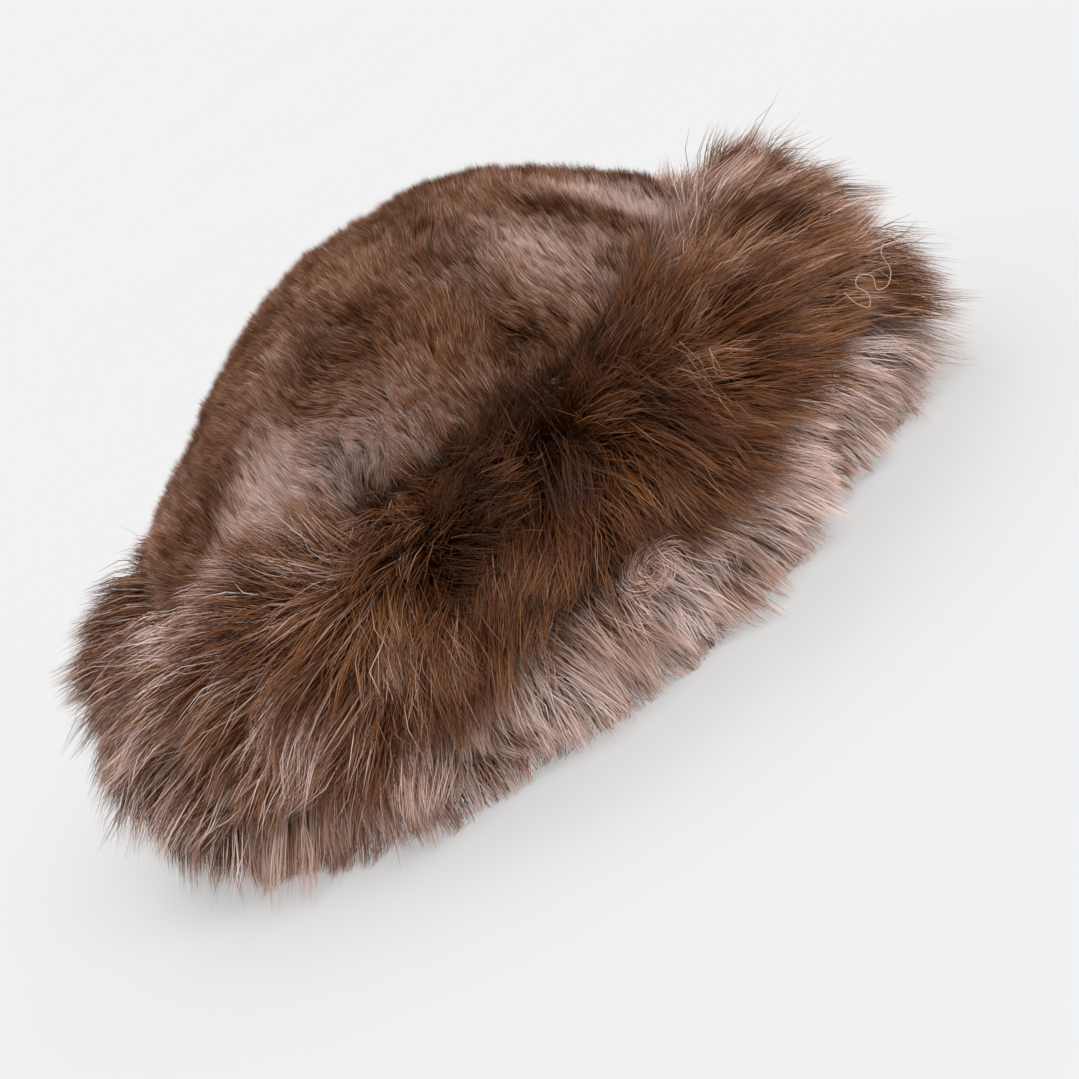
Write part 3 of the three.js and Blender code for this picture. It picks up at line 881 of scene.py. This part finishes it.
# The crown's hairs: how many make a tuft and how far they gather, their tone and how it changes up
# the crown and where the pile is long, and the spread of their way, length, width, roll and tone.
CROWN_TUFT = 40
CROWN_GATHER = 0.5
CROWN_TONE = {"base": 0.46, "rise": -0.07, "shaggy": 0.22, "tuft": 0.06, "hair": 0.18}
CROWN_SPREAD = {"way": 0.2, "length": (0.66, 1.12), "width": (0.7, 1.3), "roll": 0.6}

# The upper brim's pile, off its comb: degrees that it turns between front and side, how much
# flatter it lies behind, how it droops in front away from the seam, how far hairs stray in degrees,
# the least that one stands over the cloth, and how far over it a hair bends freely.
CORNER_TURN = 30
BACK_FLATTER = 0.85
FRONT = {"turn": -86, "width": 34, "droop": 22, "bend": 0.25}
SEAM_ENDS = 0.15
SEAM_FADES = 0.3
BEND_UNIT = 42
STRAY = 11.0
SIDE_STRAY = 1.5
LEAST_LIFT = 6
LOOSE_BEND_LIFT = 30
UPPER_TONE = 0.36
TUFT_BEND_LOSS = 0.4
UPPER_LENGTHS = (0.66, 1.08)
UPPER_FACING = 0.7

# The under brim's pile: how it turns between front and side, how far hairs stray in lean and to the
# side, in degrees, and how much they bend down.
UNDER_CORNER_TURN = 34
UNDER_STRAY = 9
UNDER_SIDE_STRAY = 16
UNDER_BEND = 0.3
UNDER_LENGTHS = (0.6, 1.1)
UNDER_FACING = 0.3

# The curl of a brim hair, and how brim hair gathers: how many share a leader, how far they are
# drawn to it, how much that varies and its most, how much of their own place they keep, the share
# of the curl that leaders have and how much groups differ in tone. A few hairs stay loose. Then how
# much single hairs differ in tone, in width as a share and in roll.
CURL = 0.42
UPPER_LOCK = 220
UNDER_LOCK = 60
FINE_TUFT = 18
LOCK = {"pull": 0.5, "varies": 0.18, "most": 0.85, "near": 0.55, "curl": 0.3, "tone": 0.08}
FINE = {"pull": 0.58, "varies": 0.24, "most": 0.95, "near": 0.25, "curl": 0.6, "tone": 0.08}
LOOSE_SHARE = 0.06
LOOSE_PULL = 0.05
HAIR_TONE = 0.12
BRIM_WIDTHS = (0.6, 1.3)
BRIM_ROLL = 0.55


def crown_shagginess(turn, rise):
    """The crown's pile length round the hat and up the crown, as a share of its usual one."""
    shaggy = 1
    for row in CROWN_SHAGGY:
        low = np.clip(1 - rise / row["up_to"], 0, 1)
        shaggy = shaggy + row["longer"] * low * bump(turn, row["turn"], row["width"])
    return shaggy + SEAM_SHAGGY["longer"] * np.clip(1 - rise / SEAM_SHAGGY["up_to"], 0, 1)


def crown_fur(name, node, start, end, count, seed):
    """Short pile over a stretch of the crown, leaning this way and that in soft patches."""
    dice = np.random.default_rng(seed)
    roots = Shell(crown_outline, start, end, rows=90, sink=CROWN_PILE).scatter(count, dice)
    point, normal, turn = roots["root"], roots["normal"], roots["turn"]
    rise = hermite(CROWN_SECTIONS, "rise", roots["place"])
    wave = waves_at(point, CROWN_WAVES, CROWN_WAVE_SEED)
    across = wave["across"] + RIPPLE_LEAN * wave["ripple"]
    lean = np.stack((across, wave["deep"], wave["lift"]), -1)
    turnover = CROWN_TURNOVER + CROWN_TURNOVER_BACK * np.clip(np.sin(turn), 0, 1)
    turned = np.clip((rise + RIPPLE_TURN * wave["ripple"]) / turnover, 0, 1)
    upward = 2 * CROWN_UPWARD * turned - CROWN_UPWARD
    lean += np.stack((np.full(count, -CROWN_LEFTWARD), np.zeros(count), upward), -1)
    flat = lean - normal * (lean * normal).sum(-1, keepdims=True)
    way = unit(normal * CROWN_STAND + flat + dice.normal(0, CROWN_SPREAD["way"], point.shape))
    shaggy = crown_shagginess(turn, rise)
    length = sizes().crown_pile / MM * shaggy * dice.uniform(*CROWN_SPREAD["length"], count)
    straight = np.zeros(count)
    hairs = grown(point, way, length, SHORT_STEPS, flat, straight, straight, dice)
    chosen = dice.choice(count, count // CROWN_TUFT, replace=False)
    pull = np.full(count, CROWN_GATHER)
    hairs, tuft = gathered(hairs, SHORT_STEPS, hairs[chosen], pull, CROWN_GATHER)
    tone = CROWN_TONE["base"] + CROWN_TONE["rise"] * rise + wave["tone"] + wave["fleck"]
    tone = tone + CROWN_TONE["shaggy"] * (shaggy - 1)
    # Patches: a painted highlight on a lobe, and painted shade in a dent's crease and by the front
    # seam.
    for patch in CROWN_PATCHES_AND_PAINTED_LIGHT:
        near = np.exp(-(((rise - patch["rise"]) / patch["tall"]) ** 2))
        tone = tone + patch["tone"] * near * bump(turn, patch["turn"], patch["wide"])
    tone = tone + dice.normal(0, CROWN_TONE["tuft"], len(chosen))[tuft]
    tone = tone + dice.normal(0, CROWN_TONE["hair"], count)
    width = sizes().crown_hair / MM * dice.uniform(*CROWN_SPREAD["width"], count)
    piece = ribbons(
        name, hairs, normal, width, SHORT_PROFILE, tone, SHORT_STEPS,
        bpy.data.materials["crown_fur"], dice.normal(0, CROWN_SPREAD["roll"], count),
    )
    placed(piece, "short_pile", node)


def brim_hairs(roots, way, length, bend_by, dice, locks, tone, streaks=1.0):
    """Long hairs that bend down, gathered in locks and finer tufts, and the tone of each."""
    count = len(way)
    curl = dice.normal(0, CURL, count)
    lead = dice.choice(count, locks, replace=False)
    fine = dice.choice(count, count // FINE_TUFT, replace=False)
    curl[lead] *= LOCK["curl"]
    curl[fine] *= FINE["curl"]
    hairs = grown(roots["root"], way, length, LONG_STEPS, DOWN, bend_by, curl, dice)
    pull = np.clip(dice.normal(LOCK["pull"], LOCK["varies"], count), 0, LOCK["most"])
    pull[dice.random(count) < LOOSE_SHARE] = LOOSE_PULL
    hairs, lock = gathered(hairs, LONG_STEPS, hairs[lead], pull, LOCK["near"])
    pull = np.clip(dice.normal(FINE["pull"], FINE["varies"], count), 0, FINE["most"])
    hairs, tuft = gathered(hairs, LONG_STEPS, hairs[fine], pull, FINE["near"])
    streak = dice.normal(0, LOCK["tone"], len(lead))[lock]
    streak = streak + dice.normal(0, FINE["tone"], len(fine))[tuft]
    return hairs, tone + (streak + dice.normal(0, HAIR_TONE, count)) * streaks


def brim_piece(name, material, slot, node, hairs, roots, facing_out, tone, dice):
    """The brim's hairs as a piece, facing out of the cloth and away from the crown."""
    count = len(hairs)
    facing = unit(roots["normal"] + ahead_of(roots["turn"], np.full(count, facing_out), 0))
    width = sizes().brim_hair / MM * dice.uniform(*BRIM_WIDTHS, count)
    piece = ribbons(
        name, hairs, facing, width, LONG_PROFILE, tone, LONG_STEPS,
        bpy.data.materials[material], dice.normal(0, BRIM_ROLL, count),
    )
    placed(piece, slot, node)


def upper_lie(turn, along):
    """How the upper brim's hair lies, chance apart, by name: lean, sideways turn and stray in
    degrees, bend, length and tone as shares, and how much the tufts differ in tone."""
    marks = [row["along"] for row in UPPER_COMB]
    lean, bend, length = (
        np.interp(along, marks, [row[key] for row in UPPER_COMB])
        for key in ("lean", "bend", "length")
    )
    bend = bend / BEND_UNIT
    side = -CORNER_TURN * np.sin(2 * turn)
    back = np.clip(1.35 * np.sin(turn), 0, 1)
    front = bump(turn, FRONT["turn"], FRONT["width"])
    off_seam = np.clip((along - SEAM_ENDS) / SEAM_FADES, 0, 1)
    lean = lean * (1 - BACK_FLATTER * back * off_seam) - FRONT["droop"] * front * off_seam
    bend = bend + FRONT["bend"] * front * off_seam
    stray = np.full(len(turn), STRAY)
    tone, streaks = np.full(len(turn), UPPER_TONE), np.ones(len(turn))
    near_seam = np.clip(1.25 - along, 0, 1)
    # Cowlick tone: painted shade in a gap between locks, and partly painted sheen on the left.
    for lick in COWLICKS:
        amount = bump(turn, lick["turn"], lick["width"])
        lean = lean + lick["lean"] * amount * near_seam
        side = side + lick["side"] * amount
        tone = tone + lick["tone"] * amount
        streaks = streaks + lick["streaks"] * amount
    # Tuft tone: the dark tuft in front at the seam is painted shade in the crease between crown and
    # brim.
    for tuft in TUFTS:
        amount = np.exp(-(((along - tuft["along"]) / tuft["deep"]) ** 2))
        amount = amount * bump(turn, tuft["turn"], tuft["wide"])
        lean = lean + tuft["lean"] * amount
        length = length * (1 + (tuft["length"] - 1) * amount)
        tone = tone + tuft["tone"] * amount
        stray = stray + tuft["stray"] * amount
        bend = bend * (1 - TUFT_BEND_LOSS * amount)
    return {
        "lean": lean, "side": side, "stray": stray, "bend": bend, "length": length, "tone": tone,
        "streaks": streaks,
    }


def upper_fur(name, start, end, count, seed):
    """Long pile on the brim's upper face, over a stretch of turns in degrees."""
    dice = np.random.default_rng(seed)
    shell = Shell(brim_cloth, UPPER_COMB[0]["along"], 1.0, rows=40, outward=-1.0)

    def weight(turn, along):
        return 1.0 * (((np.degrees(turn) - start) % 360) < (end - start))

    roots = shell.scatter(count, dice, weight)
    turn, along = roots["turn"], roots["place"]
    lie = upper_lie(turn, along)
    wave = waves_at(roots["root"], UPPER_WAVES, UPPER_WAVE_SEED)
    lean = lie["lean"] + wave["lean"] + dice.normal(0, 1, count) * lie["stray"]
    side = lie["side"] + wave["side"] + dice.normal(0, SIDE_STRAY, count) * lie["stray"]
    side = np.radians(side)
    lying = cloth_slope(turn, along) * np.cos(side) + LEAST_LIFT
    bend_by = lie["bend"] * np.clip((lean - lying) / LOOSE_BEND_LIFT, 0.1, 1)
    lean = np.radians(np.maximum(lean, lying))
    way = ahead_of(turn + side, np.cos(lean), np.sin(lean))
    share = lie["length"] * (1 + wave["length"])
    length = sizes().brim_pile / MM * share * dice.uniform(*UPPER_LENGTHS, count)
    tone = lie["tone"] + wave["tone"]
    hairs, tone = brim_hairs(
        roots, way, length, bend_by, dice, count // UPPER_LOCK, tone, lie["streaks"]
    )
    brim_piece(
        name, "brim_fur", "long_pile", "brim_upper", hairs, roots, UPPER_FACING, tone, dice
    )


def whorl_fur(name, seed):
    """Pale hairs that curl round a point low on the front of the brim."""
    dice = np.random.default_rng(seed)
    count, turn = WHORL["count"], math.radians(WHORL["turn"])
    upward = WHORL["upward"]
    out = np.array((math.cos(turn), math.sin(turn), upward)) / math.hypot(1, upward)
    level = np.array((-math.sin(turn), math.cos(turn), 0.0))
    up = np.cross(out, level)
    middle = ahead_of(turn, np.full(1, WHORL["radius"]), WHORL["height"])
    share = np.array(WHORL_STEPS)[None]

    def spread(low, high):
        return dice.uniform(low, high, count)[:, None]

    angle = spread(0, 2 * np.pi) - math.radians(WHORL["twist"]) * spread(*WHORL["twists"]) * share
    reach = WHORL["wide"] * spread(*WHORL["reaches"]) * (0.4 + share**1.6)
    across = reach * np.cos(angle) + spread(*WHORL["off_across"])
    rise = WHORL["oval"] * reach * np.sin(angle) + spread(*WHORL["off_up"])
    depth = spread(*WHORL["roots_deep"]) * (1 - share) + spread(*WHORL["tips_deep"]) * share
    hairs = middle + level * across[..., None] + up * rise[..., None] + out * depth[..., None]
    width = sizes().brim_hair / MM * dice.uniform(*WHORL["widths"], count)
    tone = WHORL["tone"] + dice.normal(0, WHORL["tones"], count)
    piece = ribbons(
        name, hairs, np.tile(out, (count, 1)), width, WHORL_PROFILE, tone, WHORL_STEPS,
        bpy.data.materials["under_fur"], dice.normal(0, WHORL["rolls"], count),
    )
    placed(piece, "long_pile", "brim_upper")


def zoned(key, place):
    """A column of the under brim's zones, at places counted in zones."""
    column = np.array([row[key] for row in UNDER_ZONES])
    return column[np.clip(np.ceil(place).astype(int) - 1, 0, len(column) - 1)]


def under_fur(name, count, seed):
    """Long pile on the brim's under face, down to the surface and in round the opening."""
    dice = np.random.default_rng(seed)
    shell = Shell(under_core, 0.0, 3.0, rows=60)
    roots = shell.scatter(count, dice, lambda turn, place: zoned("dense", place))
    turn, place = roots["turn"], roots["place"]
    outer = np.clip(place - 2.0, 0, 1)
    lean = zoned("lean", place) + zoned("leans_on", place) * outer
    side = -UNDER_CORNER_TURN * np.sin(2 * turn)
    wave = waves_at(roots["root"], UNDER_WAVES, UNDER_WAVE_SEED)
    lean = np.radians(lean + wave["lean"] + dice.normal(0, UNDER_STRAY, count))
    side = np.radians(side + wave["side"] + dice.normal(0, UNDER_SIDE_STRAY, count))
    way = ahead_of(turn + side, np.cos(lean), np.sin(lean))
    share = zoned("length", place) + zoned("grows_on", place) * outer
    share = share * (1 + wave["length"]) * round_table(UNDER_HAIR, "length", turn)
    length = sizes().brim_pile / MM * share * dice.uniform(*UNDER_LENGTHS, count)
    tone = round_table(UNDER_HAIR, "tone", turn) + wave["tone"]
    bend_by = np.full(count, UNDER_BEND)
    hairs, tone = brim_hairs(roots, way, length, bend_by, dice, count // UNDER_LOCK, tone)
    brim_piece(
        name, "under_fur", "pale_long_pile", "brim_under", hairs, roots, UNDER_FACING, tone, dice
    )


# A thread's ends as a share of its radius, and a slanting direction that no run of thread takes.
THREAD_END = 0.35
ASLANT = np.array((0.13, 0.21, 0.97))


def tube(name, runs, radius, material, sides=6):
    """One mesh of thin round threads, each along its own run of points."""
    vertices, faces = [], []
    for run in runs:
        run = np.asarray(run, float)
        heading = unit(np.gradient(run, axis=0))
        side = unit(np.cross(heading, ASLANT))
        lift = np.cross(heading, side)
        first = len(vertices)
        for j, middle in enumerate(run):
            thin = radius * (THREAD_END if j in (0, len(run) - 1) else 1.0)
            for k in range(sides):
                angle = 2 * math.pi * k / sides
                off = side[j] * math.cos(angle) + lift[j] * math.sin(angle)
                vertices.append(middle + off * thin)
        for j in range(len(run) - 1):
            for k in range(sides):
                a, b = first + j * sides + k, first + j * sides + (k + 1) % sides
                faces.append((a, b, b + sides, a + sides))
        faces.append(tuple(first + k for k in reversed(range(sides))))
        faces.append(tuple(first + (len(run) - 1) * sides + k for k in range(sides)))
    mesh = bpy.data.meshes.new(name)
    mesh.from_pydata([tuple(v * MM) for v in vertices], [], faces)
    mesh.polygons.foreach_set("use_smooth", np.ones(len(faces), bool))
    mesh.materials.append(material)
    mesh.update()
    return in_scene(name, mesh)


def smooth_run(points, per_span=6):
    """A smooth curve through points given one by one."""
    points = np.asarray(points, float)
    ends = np.concatenate((2 * points[:1] - points[1:2], points, 2 * points[-1:] - points[-2:-1]))
    run = []
    for i in range(1, len(ends) - 2):
        for t in np.arange(per_span) / per_span:
            a, b, c, d = ends[i - 1 : i + 3]
            run.append(
                0.5 * (2 * b + (c - a) * t + (2 * a - 5 * b + 4 * c - d) * t**2
                       + (3 * b - a - 3 * c + d) * t**3)
            )
    return np.array(run + [points[-1]])


class HAT_OT_finishes(bpy.types.Operator):
    """Make the materials of the hair, the cloth and the thread"""

    bl_idname = "hat.finishes"
    bl_label = "Finishes"

    def execute(self, context):
        fur_finish("crown_fur", colours(), FROST)
        fur_finish("brim_fur", colours(), FROST)
        fur_finish("under_fur", colours(), UNDER_FROST)
        underfur_finish(colours())
        knit_finish(colours())
        thread_finish("loose_thread", tuple(colours().thread))
        thread_finish("seam_thread", tuple(colours().warm))
        return {"FINISHED"}


class HAT_OT_crown(bpy.types.Operator):
    """Grow the short pile on the crown's side band and top panel"""

    bl_idname = "hat.crown"
    bl_label = "Crown pile"

    def execute(self, context):
        size = sizes()
        crown_fur(
            "crown_side_pile", "crown_side", 0.0, TOP_PANEL_ROW, size.side_count, size.seed
        )
        crown_fur(
            "crown_top_pile", "crown_top", TOP_PANEL_ROW, PEAK_ROW, size.top_count, size.seed + 1
        )
        return {"FINISHED"}


class HAT_OT_brim(bpy.types.Operator):
    """Grow the long pile on the brim's upper and under faces"""

    bl_idname = "hat.brim"
    bl_label = "Brim pile"

    def execute(self, context):
        size = sizes()
        upper_fur("brim_upper_pile_front", 180, 360, size.upper_count, size.seed + 2)
        upper_fur("brim_upper_pile_back", 0, 180, size.upper_count, size.seed + 3)
        under_fur("brim_under_pile", size.under_count, size.seed + 4)
        whorl_fur("brim_whorl", size.seed + 5)
        return {"FINISHED"}


class HAT_OT_backing(bpy.types.Operator):
    """Lay the cloth that the hair grows from, knitted on its inside"""

    bl_idname = "hat.backing"
    bl_label = "Backing"

    def execute(self, context):
        # The cloth's hair side is painted with the dark shade deep in the pile.
        shaded_fur_side, inside = bpy.data.materials["underfur_painted_shade"], bpy.data.materials["knit"]
        panels = (
            ("crown_side", 0.0, TOP_PANEL_ROW - PANEL_SLIT),
            ("crown_top", TOP_PANEL_ROW + PANEL_SLIT, PEAK_ROW - PEAK_HOLE),
        )
        for node, start, end in panels:
            outer, inner = (
                Shell(
                    crown_outline, start, end, rows=24, sink=sink, columns=BACKING_COLUMNS
                ).points
                for sink in (CROWN_PILE - BACKING_OVER, CROWN_PILE + CLOTH)
            )
            layers = list(outer) + list(inner[::-1])
            rows = len(outer)
            piece = shell_piece(
                node + "_backing", layers, (shaded_fur_side, inside), lambda j, n=rows: int(j >= n - 1)
            )
            placed(piece, "short_pile", node)
        cloth = Shell(brim_cloth, 0.0, 1.0, rows=16, outward=-1.0, columns=BACKING_COLUMNS)
        half = cloth.normal * BRIM_CLOTH_HALF
        layers = list(cloth.points + half) + list((cloth.points - half)[::-1])
        piece = shell_piece("brim_upper_backing", layers, (shaded_fur_side,), lambda j: 0)
        placed(piece, "long_pile", "brim_upper")
        core = Shell(under_core, 0.0, 3.0, rows=45, columns=BACKING_COLUMNS)
        lid = Shell(
            brim_cloth, 0.0, 1.0, rows=12, outward=-1.0, sink=CORE_BELOW,
            columns=BACKING_COLUMNS,
        )
        layers = list(core.points) + list(lid.points[::-1])
        piece = shell_piece("brim_under_backing", layers, (shaded_fur_side,), lambda j: 0)
        placed(piece, "pale_long_pile", "brim_under")
        return {"FINISHED"}


# The photo's view: 17 degrees down on the hat, turned 36 degrees in its frame.
CAMERA_ELEVATION = 17.0
CAMERA_ROLL = 36.0
CAMERA_DISTANCE = 828.0
CAMERA_LENS = 85.0
SENSOR = 36.0
AIM_RIGHT = 4.7
AIM_UP = 21.9


def add_camera():
    """A camera that sees the hat as the photo does."""
    tilt, roll = math.radians(CAMERA_ELEVATION), math.radians(CAMERA_ROLL)
    right = Vector((1, 0, 0))
    up = Vector((0, math.sin(tilt), math.cos(tilt)))
    look = Vector((0, math.cos(tilt), -math.sin(tilt)))
    aim = right * AIM_RIGHT + up * AIM_UP
    lens_at = aim - look * CAMERA_DISTANCE
    turned_right = right * math.cos(roll) - up * math.sin(roll)
    turned_up = up * math.cos(roll) + right * math.sin(roll)
    camera = in_scene("photo_camera", bpy.data.cameras.new("photo_camera"))
    camera.data.lens, camera.data.sensor_width = CAMERA_LENS, SENSOR
    camera.data.clip_start, camera.data.clip_end = 0.05, 100.0
    axes = Matrix((turned_right, turned_up, -look)).transposed().to_4x4()
    camera.matrix_world = Matrix.Translation(lens_at * MM) @ axes
    bpy.context.scene.camera = camera


# The floor's half width in metres, and the even light from all round.
FLOOR_HALF = 60.0
WORLD_COLOUR = (0.87, 0.87, 0.87)
WORLD_STRENGTH = 0.66

# Soft lamps as broad as a lit wall: where each shines from, in degrees about Z and above the
# floor, how strong it is and how many degrees wide.
LAMPS = table(
    "name turn height strength wide",
    ("key", -66, 40, 2.6, 45),
    ("rim", 96, 56, 0.9, 40),
)


# How far over and under a ring, in rows of the section table, the crown's way out is measured.
RING_HALF = 0.3


def inside_crown(turn, row, off):
    """Points on the crown's inner cloth, off it into the hollow."""
    low, high = max(row - RING_HALF, 0.0), row + RING_HALF
    sink = CROWN_PILE + CLOTH + off
    ring = Shell(crown_outline, low, high, rows=2, sink=sink, columns=BACKING_COLUMNS).points[1]
    at = (turn % (2 * np.pi)) / (2 * np.pi) * BACKING_COLUMNS
    i = at.astype(int) % BACKING_COLUMNS
    return ring[i] + (ring[i + 1] - ring[i]) * (at - np.floor(at))[:, None]


class HAT_OT_threads(bpy.types.Operator):
    """Sew the panel seams inside the crown and lay the loose thread on the brim"""

    bl_idname = "hat.threads"
    bl_label = "Threads"

    def execute(self, context):
        piece = tube(
            "loose_thread", [smooth_run(LOOSE_THREAD)], THREAD_RADIUS,
            bpy.data.materials["loose_thread"],
        )
        placed(piece, "long_pile", "brim_upper")
        turn = np.linspace(0, 2 * np.pi, STITCHES["count"] + 1)[:-1]
        half, tall = np.pi / STITCHES["count"], STITCHES["half_height"]
        for node, row in (("crown_top", TOP_PANEL_ROW), ("crown_side", SIDE_SEAM_ROW)):
            runs = []
            for slant in (-1, 1):
                step = slant * half * STITCHES["slant"]
                low = inside_crown(turn - step, row - tall, STITCHES["off"])
                high = inside_crown(turn + step, row + tall, STITCHES["off"])
                over = inside_crown(turn, row, STITCHES["bow"])
                runs += [np.stack(ends) for ends in zip(low, over, high)]
            piece = tube(
                node + "_seam", runs, STITCHES["radius"], bpy.data.materials["seam_thread"], sides=4
            )
            placed(piece, "short_pile", node)
        return {"FINISHED"}


class HAT_OT_stage(bpy.types.Operator):
    """Set the pale floor, the soft lamps and the camera"""

    bl_idname = "hat.stage"
    bl_label = "Stage"

    def execute(self, context):
        add_camera()
        mesh = bpy.data.meshes.new("floor")
        signs = ((-1, -1), (1, -1), (1, 1), (-1, 1))
        corners = [(x * FLOOR_HALF, y * FLOOR_HALF, 0) for x, y in signs]
        mesh.from_pydata(corners, [], [(0, 1, 2, 3)])
        mesh.materials.append(floor_finish(tuple(colours().floor)))
        floor = in_scene("floor", mesh)
        for row in LAMPS:
            lamp = bpy.data.lights.new(row["name"], "SUN")
            lamp.energy, lamp.angle = row["strength"], math.radians(row["wide"])
            holder = in_scene(row["name"], lamp)
            turn, height = math.radians(row["turn"]), math.radians(row["height"])
            level = math.cos(height)
            towards = Vector((math.cos(turn) * level, math.sin(turn) * level, math.sin(height)))
            holder.rotation_mode = "QUATERNION"
            holder.rotation_quaternion = towards.to_track_quat("Z", "Y")
            holder.location = towards
        world = bpy.data.worlds.new("studio")
        world.use_nodes = True
        back = world.node_tree.nodes["Background"]
        back.inputs["Color"].default_value = (*WORLD_COLOUR, 1.0)
        back.inputs["Strength"].default_value = WORLD_STRENGTH
        context.scene.world = world
        context.scene.view_settings.view_transform = "Standard"
        return {"FINISHED"}


class HAT_PT_panel(bpy.types.Panel):
    """The hat's sizes, colours and steps in the sidebar"""

    bl_idname = "HAT_PT_panel"
    bl_label = "Fur Brim Hat"
    bl_space_type = "VIEW_3D"
    bl_region_type = "UI"
    bl_category = "Hat"

    def draw(self, context):
        for group in (context.scene.hat_sizes, context.scene.hat_colours):
            for name in group.__annotations__:
                self.layout.prop(group, name)
        for operator in OPERATORS:
            self.layout.operator(operator.bl_idname)


OPERATORS = (
    HAT_OT_finishes, HAT_OT_stage, HAT_OT_backing, HAT_OT_crown, HAT_OT_brim, HAT_OT_threads,
)
CLASSES = (HatSizes, HatColours, *OPERATORS, HAT_PT_panel)


def register():
    for each in CLASSES:
        bpy.utils.register_class(each)
    bpy.types.Scene.hat_sizes = PointerProperty(type=HatSizes)
    bpy.types.Scene.hat_colours = PointerProperty(type=HatColours)


def unregister():
    del bpy.types.Scene.hat_colours
    del bpy.types.Scene.hat_sizes
    for each in reversed(CLASSES):
        bpy.utils.unregister_class(each)


def main():
    register()
    bpy.ops.hat.finishes()
    bpy.ops.hat.stage()
    bpy.ops.hat.backing()
    bpy.ops.hat.crown()
    bpy.ops.hat.brim()
    bpy.ops.hat.threads()
    bpy.context.view_layer.update()


if __name__ == "__main__":
    main()
